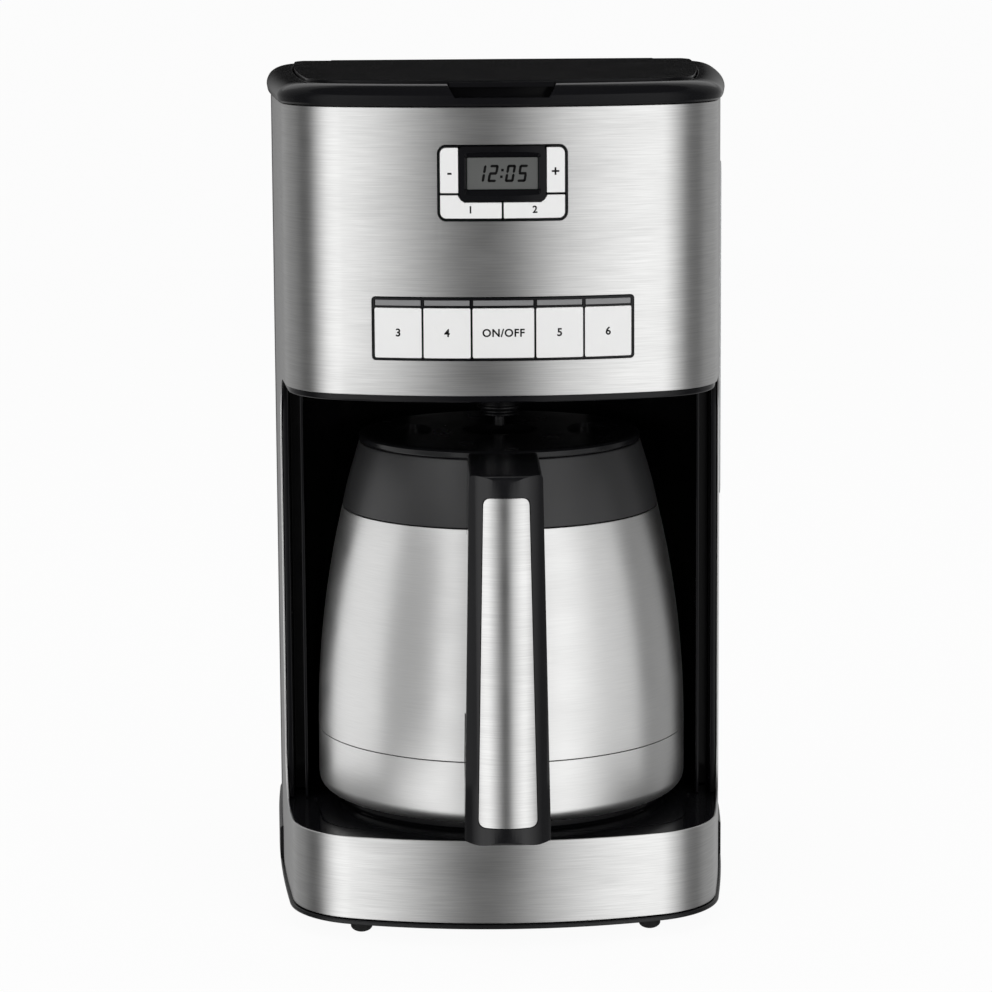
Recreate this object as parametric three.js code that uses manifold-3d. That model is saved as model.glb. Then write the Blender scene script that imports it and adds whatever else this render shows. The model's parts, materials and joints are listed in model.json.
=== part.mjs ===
// A programmable drip coffee maker with a thermal carafe, built as separate parts.
// Millimetres, +Z up. The front faces -Y. The origin is on the table, under the middle of the
// box that holds the machine with its carafe, so the carafe handle ends as far in front as the
// back wall lies behind.
import * as THREE from "three";
import { mergeVertices } from "three/addons/utils/BufferGeometryUtils.js";
import Module from "manifold-3d";

const wasm = await Module();
wasm.setup();

// ---------------------------------------------------------------- driving dimensions

// Body in plan: a bowed front, round front corners, sides that flare a little, a flat back.
const bodyDepth = 208;
const frontRadius = 205;
const frontChord = 126.6; // width of the bowed front between the corners
const cornerRadius = 36;
const cornerSweep = 83; // direction that the corner has turned to where the side begins
const sideRadius = 1228;
const rearRadius = 28;
const wrapDepth = 106; // how far back the steel wrap reaches
const overlapDepth = 8; // tongue of the rear housing behind the wrap's edge
const handleReach = 33.5; // carafe handle in front of the body

// Heights, one above the other.
const footHeight = 6.7;
const panThickness = 1.75;
const bandHeight = 34.4; // steel band under the bay
const bayHeight = 181.45;
const panelHeight = 114.1; // steel panel above the bay
const capHeight = 8.8;
const lidProud = 1.0;

// Walls and clearances.
const sheet = 0.8; // steel wrap
const wall = 2.4; // moulded walls
const seam = 0.3; // between parts that touch
const slip = 0.35; // around parts that slide
const capProud = 1.7;
const panProud = 1.3;
const skirtHeight = 12.5; // moulded base under the rear housing

// Vents in the base pan.
const ventCount = 5;
const ventPitch = 9;
const ventWidth = 4;
const ventLength = 46;

// Bay.
const mouthDepth = 74; // how far back the window in the wrap reaches
const mouthCorner = 21; // rounding of the window's rear corners, seen from the side
const lipDrop = 2.8; // black lip below that edge
const bayClearance = 4.4; // round the carafe
const cheekDepth = 20; // liner beside the bay, behind the window's edge
const cheekRim = 2.4; // strip that shows along the window's edge
const bayEdge = 1.4; // front edge of the half-round wall
const pocketDepth = 16; // groove between the two
const grooveWidth = 1;
const grooveDepth = 0.8;
const grooveInset = 12; // groove in the platform, behind the steel
const seatRadius = 68; // ring that the carafe's foot settles in
const seatWidth = 2;
const platformSkirt = 5;

// Lid.
const lidInset = 9.5; // from the steel's outer face to the lid's opening
const lidPlate = 3;
const lidGap = 0.5;
const lidSkirt = 4;
const lidRib = 2;
const shoulderRise = 2.9; // from the steel to where the shoulder is widest
const capLip = 3; // skirt of the cap behind the steel
const capWall = 1.6;
const barrelRadius = 3.5;
const pinRadius = 1.5;
const pinPlay = 0.1;
const pinLength = 14;
const pinStickOut = 5; // out of the barrel
const railHalf = 3.2;
const hingeRoom = 9; // round the hinge line
const notchWidth = 43;
const notchTaper = 3;
const notchDepth = 5.2;
const tabThickness = 1.9;
const tabSetback = 4;

// Clock on the front panel.
const clockDrop = 15.05; // from the top of the steel to the clock
const clockWidth = 50.7;
const clockTall = 29.4;
const clockRound = 3.2;
const clockBorder = 0.75;
const bezelWidth = 34;
const bezelTall = 21.9;
const screenWidth = 27.8;
const screenTall = 12.5;
const screenDrop = 4.8; // from the top of the clock to the screen
const sideKeyTall = 17.9;
const bezelRound = 2.2;
const bezelDepth = 2.6;
const screenRim = 0.6; // bezel round the screen
const screenSetback = 1.6;
const screenThickness = 3.9;

// Row of brewing buttons.
const rowDrop = 30.6; // from the clock to the row
const rowWidth = 103.3;
const rowTall = 24.7;
const rowRound = 1.2;
const rowBorder = 0.8;
const rowGap = 0.8;
const brewKeyWidth = 24.4;
const lampTall = 2.5;
const lampDepth = 1.6;
const keyRound = 0.6;
const keyTravel = 1;
const keyProud = 0.5;
const keyThickness = 5;
const flangeWidth = 6;
const bossRadius = 2.5;
const boardDepth = 17; // control board behind the front face
const boardThickness = 1.6;

// Carafe.
const carafeSetback = 85.2; // axis behind the front face
const carafeRadius = 77.6;
const footRing = 3.85;
const cupHeight = 26.2;
const shellHeight = 93.55;
const shoulderDrop = 11.2; // how much the radius falls over the shell's height
const collarHeight = 27.15;
const collarTop = 59.6;
const steel = 0.9;
const linerGap = 4.2;
const linerRise = 8; // dished base of the liner
const mouthRadius = 47;
const stopperDepth = 18;
const stopperRise = 3.4;
const brewHole = 6.5;
const cupRound = 6;
const footRingInset = 8;
const footRingWidth = 4;
const neckRise = 2; // liner's neck above the steel
const fingerWidth = 16; // hollows on the stopper
const fingerLength = 34;
const fingerSpread = 36.5;
const fingerDepth = 2;
const handleTopWidth = 28.9;
const handleBottomWidth = 34.3;
const handleThickness = 13;
const gripRise = 2.8; // above the collar's rim
const gripStart = 2.4; // above the cup's underside
const gripRound = 4;
const bridgeTall = 22; // lower bridge
const bridgeRound = 16; // at the top of the finger room
const gripBow = 21; // radius of the grip's front in plan
const inlayBorder = 5.2;
const inlayTop = 8.3;
const inlayBottom = 7.2;
const inlayDeep = 1.2;
const inlayRound = 3.2;

// Brewing parts.
const basketRadius = 55;
const basketDrop = 14; // basket rim below the top of the steel
const basketFloorRadius = 21;
const nozzleRadius = 8.6;
const nozzleBore = 6.8;
const dripStem = 2.6;
const dripHead = 9;
const finThickness = 1.4;
const nozzleGap = 1.4; // above the carafe
const dripTravel = 3;
const funnelDrop = 8.8; // the holder's funnel reaches below the bay's top
const basketRim = 3;
const basketWall = 2;
const seatRise = 5; // basket's floor above the plate over the bay
const coneWall = 1.2;
const coneRibs = 8;
const tankFloor = 127;
const tankWall = 2;
const tankGap = 0.8; // behind the bay's liner
const outletLength = 12;
const overflowWidth = 22; // slot high in the back wall
const overflowTall = 4;
const overflowDrop = 26; // below the top of the steel
const tankDrop = 8; // tank rim below the top of the steel
const riserRadius = 4;
const riserBore = 2.8;
const riserAngle = 40; // from the side of the tank, behind the bay
const riserGap = 1.2;
const showerRadius = 24;
const showerDepth = 9;
const showerWall = 2;
const showerRing = 14; // circle that the shower's holes lie on
const showerHoles = 6;
const holeRadius = 1.6;
const channelHalf = 7;
const inletRadius = 9;
const hoseRadius = 5;
const hoseBore = 3.4;
const heaterReach = 44; // heating tube's middle line from the carafe's axis
const heaterLegs = 28;
const heaterHeight = 24;
const heaterRadius = 6;
const heaterBore = 4;
const rodRadius = 4.2;
const cradleRadius = 5;
const thermostatRadius = 8;
const thermostatHeight = 5;
const clampWidth = 6;
const clampThickness = 1.6;
const outletSpread = 58;
const outletSetback = 30; // in front of the back wall

// Cord gland low in the back wall.
const glandWidth = 13;
const glandTall = 9;
const glandSpread = 52;
const glandHeight = 28;
const glandRound = 2.8;
const glandFlange = 2.4;
const glandWall = 2.6;

// Water window in the right side.
const windowBottom = 163.5;
const windowTall = 144;
const windowWide = 13;
const windowGap = 15; // its front edge behind the steel's edge
const windowProud = 1.1;

// Feet.
const footRadius = 4.5;
const footStem = 2.4;
const footBarb = 0.7;
const footSpread = 59.2;
const frontFootSetback = 22;
const rearFootSetback = 178;
const rearFootSpread = 66;

// ---------------------------------------------------------------- places that follow

const degrees = Math.PI / 180;
const frontSweep = Math.asin(frontChord / 2 / frontRadius) / degrees; // either side of the middle
const rearProud = Math.max(capProud, panProud);
const frontY = (handleReach - bodyDepth - rearProud) / 2;
const backY = frontY + bodyDepth;
const axisY = frontY + carafeSetback;
const panTop = footHeight + panThickness;
const wrapBottom = panTop + seam;
const wrapTop = wrapBottom + bandHeight + bayHeight + panelHeight;
const bayFloor = wrapBottom + bandHeight;
const bayTop = bayFloor + bayHeight;
const shoulderTop = wrapTop + capHeight;
const lidTop = shoulderTop + lidProud;
const clockHeight = wrapTop - clockDrop - clockTall / 2; // middle of the clock
const rowHeight = clockHeight - clockTall / 2 - rowDrop - rowTall / 2; // middle of the row
const frameThickness = keyThickness + keyTravel + lampDepth;
const inside = sheet + seam; // from the wrap's outer face to what lies behind it
const bayRadius = carafeRadius + bayClearance;
const boardY = frontY + boardDepth;
const outletPlace = [outletSpread, backY - outletSetback];
const hingeZ = lidTop - barrelRadius;
const hingeY = backY - lidInset - lidGap - barrelRadius;

const footTop = bayFloor + seam;
const cupBottom = footTop + footRing;
const cupTop = cupBottom + cupHeight;
const shellBottom = cupTop + seam;
const shellTop = shellBottom + shellHeight;
const collarBottom = shellTop + seam;
const rimTop = collarBottom + collarHeight;
const stopperBottom = rimTop + seam;
const carafeTop = stopperBottom + stopperRise;
const shellTopRadius = carafeRadius - shoulderDrop;
const collarFall = shellTopRadius - collarTop;

// ---------------------------------------------------------------- solids

/** Joins equal corners and drops triangles that have collapsed, facing outwards. */
function welded(geometry) {
  const bare = geometry.clone();
  for (const name of Object.keys(bare.attributes)) {
    if (name !== "position") bare.deleteAttribute(name);
  }
  const joined = mergeVertices(bare, 1e-4);
  const source = joined.index.array;
  const triangles = [];
  for (let i = 0; i < source.length; i += 3) {
    const [a, b, c] = [source[i], source[i + 1], source[i + 2]];
    if (a !== b && b !== c && c !== a) triangles.push(a, b, c);
  }
  const p = joined.attributes.position.array;
  let volume = 0;
  for (let i = 0; i < triangles.length; i += 3) {
    const [a, b, c] = [3 * triangles[i], 3 * triangles[i + 1], 3 * triangles[i + 2]];
    volume += p[a] * (p[b + 1] * p[c + 2] - p[b + 2] * p[c + 1]);
    volume += p[a + 1] * (p[b + 2] * p[c] - p[b] * p[c + 2]);
    volume += p[a + 2] * (p[b] * p[c + 1] - p[b + 1] * p[c]);
  }
  if (volume < 0) triangles.reverse();
  joined.setIndex(triangles);
  return joined;
}

/** A solid that can be joined and cut, from a closed geometry. */
function solid(geometry) {
  const joined = welded(geometry);
  return new wasm.Manifold(
    new wasm.Mesh({
      numProp: 3,
      vertProperties: Float32Array.from(joined.attributes.position.array),
      triVerts: Uint32Array.from(joined.index.array),
    }),
  );
}

const union = (first, ...others) => others.reduce((all, one) => all.add(one), first);
const less = (first, ...others) => others.reduce((all, one) => all.subtract(one), first);
const common = (first, ...others) => others.reduce((all, one) => all.intersect(one), first);

/** The solid as a geometry of three.js. */
function toGeometry(body) {
  const found = body.getMesh();
  const geometry = new THREE.BufferGeometry();
  geometry.setAttribute("position", new THREE.BufferAttribute(found.vertProperties, 3));
  geometry.setIndex(new THREE.BufferAttribute(found.triVerts, 1));
  geometry.computeVertexNormals();
  return geometry;
}

function extruded(shape, length, curveSegments) {
  return new THREE.ExtrudeGeometry(shape, { depth: length, bevelEnabled: false, curveSegments });
}

/** An outline in x and y, raised from one height to another. */
function raised(shape, from, to, curveSegments = 4) {
  return solid(extruded(shape, to - from, curveSegments).translate(0, 0, from));
}

/** An outline in x and z, seen from the front, run back from one y to another. */
function runBack(shape, from, to, curveSegments = 2) {
  const geometry = extruded(shape, to - from, curveSegments);
  return solid(geometry.rotateX(Math.PI / 2).translate(0, to, 0));
}

/** An outline in y and z, seen from the side, run from one x to another. */
function runAcross(shape, from, to, curveSegments = 4) {
  const turn = new THREE.Matrix4().makeBasis(
    new THREE.Vector3(0, 1, 0),
    new THREE.Vector3(0, 0, 1),
    new THREE.Vector3(1, 0, 0),
  );
  return solid(extruded(shape, to - from, curveSegments).applyMatrix4(turn).translate(from, 0, 0));
}

/** A profile of [radius, height] turned about an upright axis at x, y. */
function turned(profile, x, y, segments) {
  const points = profile.map(([radius, height]) => new THREE.Vector2(radius, height));
  const closed = points[0].x === 0 && points.at(-1).x === 0;
  if (!closed) points.push(points[0].clone());
  const geometry = new THREE.LatheGeometry(points, segments);
  return solid(geometry.rotateX(Math.PI / 2).translate(x, y, 0));
}

/** An upright round bar. */
function post(radius, from, to, x, y, segments = 24) {
  return turned([[0, from], [radius, from], [radius, to], [0, to]], x, y, segments);
}

/** A round bar lying along x. */
function bar(radius, from, to, y, z, segments = 16) {
  const geometry = new THREE.CylinderGeometry(radius, radius, to - from, segments);
  return solid(geometry.rotateZ(Math.PI / 2).translate((from + to) / 2, y, z));
}

function block(x0, x1, y0, y1, z0, z1) {
  const geometry = new THREE.BoxGeometry(x1 - x0, y1 - y0, z1 - z0);
  return solid(geometry.translate((x0 + x1) / 2, (y0 + y1) / 2, (z0 + z1) / 2));
}

/** A closed outline with its corners rounded off. */
function roundedPolygon(points, round) {
  const shape = new THREE.Shape();
  points.forEach(([x, y], i) => {
    const [px, py] = points[(i + points.length - 1) % points.length];
    const [qx, qy] = points[(i + 1) % points.length];
    const [a, b] = [Math.hypot(px - x, py - y), Math.hypot(qx - x, qy - y)];
    const start = [x + ((px - x) * round) / a, y + ((py - y) * round) / a];
    if (i === 0) shape.moveTo(...start);
    else shape.lineTo(...start);
    shape.quadraticCurveTo(x, y, x + ((qx - x) * round) / b, y + ((qy - y) * round) / b);
  });
  shape.closePath();
  return shape;
}

function polygon(points) {
  return new THREE.Shape(points.map(([x, y]) => new THREE.Vector2(x, y)));
}

/** A rectangle with round corners, about its middle. */
function roundedRectangle(width, height, round, x = 0, y = 0) {
  const [w, h] = [width / 2, height / 2];
  const shape = new THREE.Shape();
  shape.moveTo(x - w + round, y - h);
  shape.lineTo(x + w - round, y - h);
  shape.absarc(x + w - round, y - h + round, round, -Math.PI / 2, 0);
  shape.lineTo(x + w, y + h - round);
  shape.absarc(x + w - round, y + h - round, round, 0, Math.PI / 2);
  shape.lineTo(x - w + round, y + h);
  shape.absarc(x - w + round, y + h - round, round, Math.PI / 2, Math.PI);
  shape.lineTo(x - w, y - h + round);
  shape.absarc(x - w + round, y - h + round, round, Math.PI, 1.5 * Math.PI);
  return shape;
}

/** A round tube or rod along a smooth route. */
function piped(route, radius, bore, steps, sides = 8) {
  const path = new THREE.CatmullRomCurve3(route.map((p) => new THREE.Vector3(...p)), false, "centripetal");
  const ring = (r) => {
    const points = [];
    for (let i = 0; i < sides; i += 1) {
      const angle = (2 * Math.PI * i) / sides;
      points.push(new THREE.Vector2(r * Math.cos(angle), r * Math.sin(angle)));
    }
    return points;
  };
  const section = new THREE.Shape(ring(radius));
  if (bore > 0) section.holes.push(new THREE.Path(ring(bore)));
  const geometry = new THREE.ExtrudeGeometry(section, { steps, extrudePath: path, curveSegments: 1 });
  return solid(geometry);
}

// ---------------------------------------------------------------- body outline

/** Stations round the body in plan: a point and the direction that faces out there. */
function bodyStations() {
  const direction = (angle) => [Math.sin(angle * degrees), -Math.cos(angle * degrees)];
  const centre = [0, frontY + frontRadius];
  const recentre = (from, to, angle) => {
    const [nx, ny] = direction(angle);
    centre[0] += (from - to) * nx;
    centre[1] += (from - to) * ny;
  };
  const half = [];
  const sweep = (radius, from, to, steps) => {
    for (let i = 0; i < steps; i += 1) {
      const angle = from + ((to - from) * (i + 1)) / steps;
      const [nx, ny] = direction(angle);
      half.push({ x: centre[0] + radius * nx, y: centre[1] + radius * ny, nx, ny });
    }
  };
  half.push({ x: 0, y: frontY, nx: 0, ny: -1 });
  sweep(frontRadius, 0, frontSweep, 5);
  recentre(frontRadius, cornerRadius, frontSweep);
  sweep(cornerRadius, frontSweep, cornerSweep, 11);
  recentre(cornerRadius, sideRadius, cornerSweep);
  const sideSweep = Math.acos((centre[1] + rearRadius - backY) / (sideRadius - rearRadius)) / degrees;
  sweep(sideRadius, cornerSweep, sideSweep, 4);
  recentre(sideRadius, rearRadius, sideSweep);
  sweep(rearRadius, sideSweep, 180, 8);
  const mirrored = half.slice(1).reverse().map((s) => ({ x: -s.x, y: s.y, nx: -s.nx, ny: s.ny }));
  return [...half, ...mirrored];
}

const stations = bodyStations();

/** The body's outline, moved out by a distance (in, when it is negative). */
function outline(out = 0) {
  return polygon(stations.map((s) => [s.x + out * s.nx, s.y + out * s.ny]));
}

/** Everything between two heights within the outline, moved out by a distance. */
const within = (out, from, to) => raised(outline(out), from, to);

/** A closed profile of [distance out, height] carried round the outline. */
function carried(profile) {
  const positions = [];
  const indices = [];
  const [rows, columns] = [stations.length, profile.length];
  for (const s of stations) {
    for (const [out, height] of profile) positions.push(s.x + out * s.nx, s.y + out * s.ny, height);
  }
  for (let i = 0; i < rows; i += 1) {
    for (let j = 0; j < columns; j += 1) {
      const a = i * columns + j;
      const b = ((i + 1) % rows) * columns + j;
      const c = ((i + 1) % rows) * columns + ((j + 1) % columns);
      const d = i * columns + ((j + 1) % columns);
      indices.push(a, b, c, a, c, d);
    }
  }
  const geometry = new THREE.BufferGeometry();
  geometry.setAttribute("position", new THREE.Float32BufferAttribute(positions, 3));
  geometry.setIndex(indices);
  return solid(geometry);
}

const wide = 2 * bodyDepth; // larger than the body, for cutting planes
const behind = (y) => block(-wide, wide, y, wide, -wide, wide);
const before = (y) => block(-wide, wide, -wide, y, -wide, wide);

/** What lies from one depth to another under the bowed front face. */
function bowed(from, to) {
  const steps = 6;
  const reach = (frontSweep + 4) * degrees;
  const arc = (radius, flip) => {
    const points = [];
    for (let i = 0; i <= steps; i += 1) {
      const angle = -reach + (2 * reach * i) / steps;
      points.push([radius * Math.sin(angle), frontY + frontRadius - radius * Math.cos(angle)]);
    }
    return flip ? points.reverse() : points;
  };
  return raised(polygon([...arc(frontRadius - from, false), ...arc(frontRadius - to, true)]), 0, lidTop);
}

// ---------------------------------------------------------------- steel wrap

/** The window's outline seen from the side: open to the front, with round rear corners. */
function mouthSide() {
  const shape = new THREE.Shape();
  const rear = frontY + mouthDepth;
  shape.moveTo(frontY - wall, bayFloor);
  shape.lineTo(rear - mouthCorner, bayFloor);
  shape.absarc(rear - mouthCorner, bayFloor + mouthCorner, mouthCorner, -Math.PI / 2, 0);
  shape.absarc(rear - mouthCorner, bayTop - mouthCorner, mouthCorner, 0, Math.PI / 2);
  shape.lineTo(frontY - wall, bayTop);
  return shape;
}

function frontWrap() {
  const strip = common(
    less(within(0, wrapBottom, wrapTop), within(-sheet, wrapBottom - wall, wrapTop + wall)),
    before(frontY + wrapDepth),
  );
  const clockHole = roundedRectangle(
    clockWidth + 2 * seam, clockTall + 2 * seam, clockRound + seam, 0, clockHeight,
  );
  const rowHole = roundedRectangle(rowWidth + 2 * seam, rowTall + 2 * seam, rowRound + seam, 0, rowHeight);
  return less(
    strip,
    runAcross(mouthSide(), -wide, wide, 5),
    runBack(clockHole, frontY - wall, axisY),
    runBack(rowHole, frontY - wall, axisY),
  );
}

// ---------------------------------------------------------------- moulded body

/** The bay in plan: a half round about the carafe, open to the front. */
function bayPlan(radius) {
  const shape = new THREE.Shape();
  shape.moveTo(-radius, frontY - wide / 4);
  shape.lineTo(radius, frontY - wide / 4);
  shape.lineTo(radius, axisY);
  shape.absarc(0, axisY, radius, 0, Math.PI);
  return shape;
}

const mouthHalfWidth = () => {
  const rear = frontY + mouthDepth;
  const next = stations.findIndex((s) => s.y > rear);
  const [a, b] = [stations[next - 1], stations[next]];
  return a.x + ((b.x - a.x) * (rear - a.y)) / (b.y - a.y) - inside;
};

function bayLiner() {
  const bottom = bayFloor + seam;
  const top = bayTop - lipDrop - seam;
  const front = frontY + mouthDepth - seam;
  const cheeks = block(-wide, wide, front, front + cheekDepth, bottom, top);
  const round = common(raised(bayPlan(bayRadius + wall), bottom, top, 18), behind(front));
  const [near, far] = [bayRadius + bayEdge, mouthHalfWidth() - cheekRim];
  return less(
    common(union(cheeks, round), within(-inside, bottom, top)),
    raised(bayPlan(bayRadius), bottom - wall, top + wall, 18),
    block(near, far, front - wall, front + pocketDepth, bottom - wall, top + wall),
    block(-far, -near, front - wall, front + pocketDepth, bottom - wall, top + wall),
  );
}

/** Plate over the bay, with the black lip that shows under the steel and the basket's seat. */
function headFloor() {
  const bottom = bayTop - lipDrop;
  const plateTop = bayTop + wall;
  const slab = union(
    common(within(-inside, bottom, plateTop), before(frontY + wrapDepth - overlapDepth - seam)),
    common(post(bayRadius + wall, bottom, plateTop, 0, axisY, 36), within(-inside, bottom, plateTop)),
  );
  const hollow = union(
    common(within(-inside - wall, bottom - wall, bayTop), before(frontY + mouthDepth)),
    post(bayRadius, bottom - wall, bayTop, 0, axisY, 36),
  );
  const basketSeat = basketFloorRadius + 4;
  return union(
    less(
      slab,
      hollow,
      post(basketSeat, bottom - wall, plateTop + wall, 0, axisY, 28),
    ),
    turned(
      [
        [basketSeat, bottom + seam], [basketSeat + wall, bottom + seam],
        [basketSeat + wall, plateTop + seatRise], [basketSeat, plateTop + seatRise],
      ],
      0, axisY, 28,
    ),
  );
}

/** The plate that the carafe stands on, with a groove round its front and a locating ring. */
function platform() {
  const bottom = bayFloor - wall;
  const out = (o, from, to) => union(
    common(within(-inside - o, from, to), before(frontY + wrapDepth - overlapDepth - seam)),
    within(-wall - seam - o, from, to),
  );
  const plate = less(
    out(0, bottom - platformSkirt, bayFloor),
    out(wall, bottom - platformSkirt - wall, bottom),
  );
  const level = bayFloor - grooveDepth;
  const groove = less(
    common(within(-grooveInset, level, bayFloor + wall), before(frontY + mouthDepth)),
    within(-grooveInset - grooveWidth, level - wall, bayFloor + 2 * wall),
  );
  const outer = seatRadius + seatWidth;
  const seat = turned(
    [[seatRadius, level], [outer, level], [outer, bayFloor + wall], [seatRadius, bayFloor + wall]],
    0, axisY, 28,
  );
  return less(
    plate, groove, seat,
    post(riserRadius + wall, 0, lidTop, ...riserPlace(), 12),
    post(hoseRadius + wall, 0, lidTop, ...outletPlace, 12),
  );
}

/** Posts on the base pan, each with a saddle that the heating tube lies in. */
function cradles() {
  const slant = heaterReach / Math.SQRT2;
  const places = [
    [-slant, axisY - slant], [slant, axisY - slant],
    [-heaterReach, axisY + heaterLegs / 2], [heaterReach, axisY + heaterLegs / 2],
  ];
  const loose = piped(horseshoe(heaterReach, heaterLegs + wall), heaterRadius + seam, 0, 16);
  return places.map(([x, y]) => less(post(cradleRadius, footHeight, heaterHeight, x, y, 12), loose));
}

function basePan() {
  const rearTop = footHeight + skirtHeight;
  const floor = within(panProud, footHeight, panTop);
  const skirt = common(
    less(within(panProud, panTop - seam, rearTop), within(-wall, panTop - wall, rearTop + wall)),
    behind(frontY + wrapDepth + seam),
  );
  let pan = union(floor, skirt, ...cradles());
  for (const [x, y] of footPlaces()) pan = less(pan, post(footStem + seam, 0, panTop + wall, x, y, 12));
  for (let i = 0; i < ventCount; i += 1) {
    const x = (i - (ventCount - 1) / 2) * ventPitch;
    const slot = roundedRectangle(ventWidth, ventLength, 0.48 * ventWidth, x, axisY);
    pan = less(pan, raised(slot, footHeight - wall, panTop + wall, 1));
  }
  return pan;
}

const rearOverflow = () => {
  const middle = wrapTop - overflowDrop;
  return roundedRectangle(overflowWidth, overflowTall, 0.48 * overflowTall, 0, middle);
};

function rearHousing() {
  const bottom = footHeight + skirtHeight + seam;
  const shell = common(
    less(within(0, bottom, wrapTop), within(-wall, bottom - wall, wrapTop + wall)),
    behind(frontY + wrapDepth + seam),
  );
  const tongue = common(
    less(within(-inside, bottom, wrapTop), within(-wall, bottom - wall, wrapTop + wall)),
    behind(frontY + wrapDepth - overlapDepth),
    before(frontY + wrapDepth + overlapDepth),
  );
  return less(
    union(shell, tongue),
    runAcross(windowOutline(seam), 0, wide, 8),
    runBack(rearOverflow(), backY - wall - 2, backY + wall),
    runBack(glandShape(0), backY - wall - 2, backY + wall),
  );
}

/** The tank's room in plan, between the bay's back wall and the rear housing. */
function tankRoom(inset, from, to) {
  const riser = riserPlace();
  return less(
    common(
      within(-wall - tankGap - inset, from, to),
      behind(frontY + wrapDepth + overlapDepth + wall + inset),
    ),
    post(bayRadius + wall + tankGap + inset, from - wall, to + wall, 0, axisY, 64),
    post(riserRadius + riserGap + inset, from - wall, to + wall, riser[0], riser[1], 20),
  );
}

/** The tank's wall, open above, stands on a base of its own. */
function waterTank() {
  const top = wrapTop - tankDrop;
  return less(
    tankRoom(0, tankFloor + tankWall + seam, top),
    tankRoom(tankWall, tankFloor, top + wall),
  );
}

/** The tank's base with the outlet that the cold hose leaves from. */
function tankBase() {
  return less(
    union(
      tankRoom(0, tankFloor, tankFloor + tankWall),
      post(hoseRadius, tankFloor - outletLength, tankFloor + 1, ...outletPlace, 12),
    ),
    post(hoseBore, tankFloor - 2 * outletLength, tankFloor + 2 * wall, ...outletPlace, 12),
  );
}

/** The riser tube runs up in a channel of the tank, just behind the bay's wall. */
function riserPlace() {
  const reach = bayRadius + wall + tankGap + riserRadius + riserGap;
  return [-reach * Math.cos(riserAngle * degrees), axisY + reach * Math.sin(riserAngle * degrees)];
}

function windowOutline(gap) {
  const middle = frontY + wrapDepth + windowGap + windowWide / 2;
  return roundedRectangle(
    windowWide + 2 * gap, windowTall + 2 * gap, windowWide / 2 + gap - 0.01,
    middle, windowBottom + windowTall / 2,
  );
}

/** Clear lens in the right side: a bulge outside and a flange behind the wall. */
function waterWindow() {
  const lens = common(
    runAcross(windowOutline(0), 0, wide, 8),
    less(
      within(windowProud, windowBottom - wall, windowBottom + windowTall + wall),
      within(-wall, windowBottom - 2 * wall, windowBottom + windowTall + 2 * wall),
    ),
  );
  return lens;
}

// ---------------------------------------------------------------- cap and lid

function topFrame() {
  const shoulder = [];
  const steps = 5;
  const crown = [-lidInset + 2 * seam, shoulderTop];
  const widest = [capProud, wrapTop + shoulderRise];
  for (let i = 0; i <= steps; i += 1) {
    const angle = (90 * degrees * i) / steps;
    shoulder.push([
      crown[0] + (widest[0] - crown[0]) * Math.sin(angle),
      widest[1] + (crown[1] - widest[1]) * Math.cos(angle),
    ]);
  }
  const ring = carried([
    [-lidInset, shoulderTop - 2 * seam],
    ...shoulder,
    [capProud - seam, wrapTop + 4 * seam],
    [seam, wrapTop + seam],
    [-wall - seam, wrapTop + seam],
    [-wall - seam, wrapTop - capLip],
    [-wall - seam - capWall, wrapTop - capLip],
    [-lidInset, wrapTop + 1],
  ]);
  const half = notchWidth / 2;
  const notch = polygon([
    [-half, lidTop + wall], [half, lidTop + wall], [half, shoulderTop],
    [half - notchTaper, shoulderTop - notchDepth], [-half + notchTaper, shoulderTop - notchDepth],
    [-half, shoulderTop],
  ]);
  return less(
    ring,
    common(runBack(notch, frontY - wall, frontY + lidInset + wall), before(frontY + lidInset + wall)),
  );
}

/** Half the length of the lid's barrel, which ends a gap short of the frame. */
function barrelHalf() {
  const inner = stations.map((s) => [s.x - lidInset * s.nx, s.y - lidInset * s.ny]);
  const next = inner.findIndex(([x, y], i) => i > 2 && y > hingeY);
  return inner[next][0] - 8;
}

function lid() {
  const gap = lidInset + lidGap;
  const plate = common(within(-gap, lidTop - lidPlate, lidTop), before(hingeY));
  const skirt = common(
    less(
      within(-gap - slip, lidTop - lidPlate - lidSkirt, lidTop - lidPlate + seam),
      within(-gap - slip - lidRib, lidTop - lidPlate - 2 * lidSkirt, lidTop - lidPlate),
    ),
    before(hingeY - 2 * barrelRadius),
  );
  const half = notchWidth / 2 - 2 * lidGap;
  const tongue = block(
    -half, half, frontY + tabSetback, frontY + gap + lidRib, lidTop - tabThickness - seam, lidTop - seam,
  );
  const reach = barrelHalf();
  let body = union(plate, skirt, tongue, bar(barrelRadius, -reach, reach, hingeY, hingeZ, 20));
  body = less(
    body,
    block(reach, wide, hingeY - barrelRadius - lidGap, hingeY + hingeRoom, 0, lidTop + wall),
    block(-wide, -reach, hingeY - barrelRadius - lidGap, hingeY + hingeRoom, 0, lidTop + wall),
  );
  for (const side of [-1, 1]) {
    const [a, b] = [side * (reach - pinLength), side * (reach + wall)];
    body = less(body, bar(pinRadius + pinPlay, Math.min(a, b), Math.max(a, b), hingeY, hingeZ));
  }
  return body;
}

/** A hinge pin, from the lid's barrel to its boss in the frame. */
function hingePin(side) {
  const reach = barrelHalf();
  const [a, b] = [side * (reach + pinStickOut - pinLength), side * (reach + pinStickOut)];
  return bar(pinRadius, Math.min(a, b), Math.max(a, b), hingeY, hingeZ);
}

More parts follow.
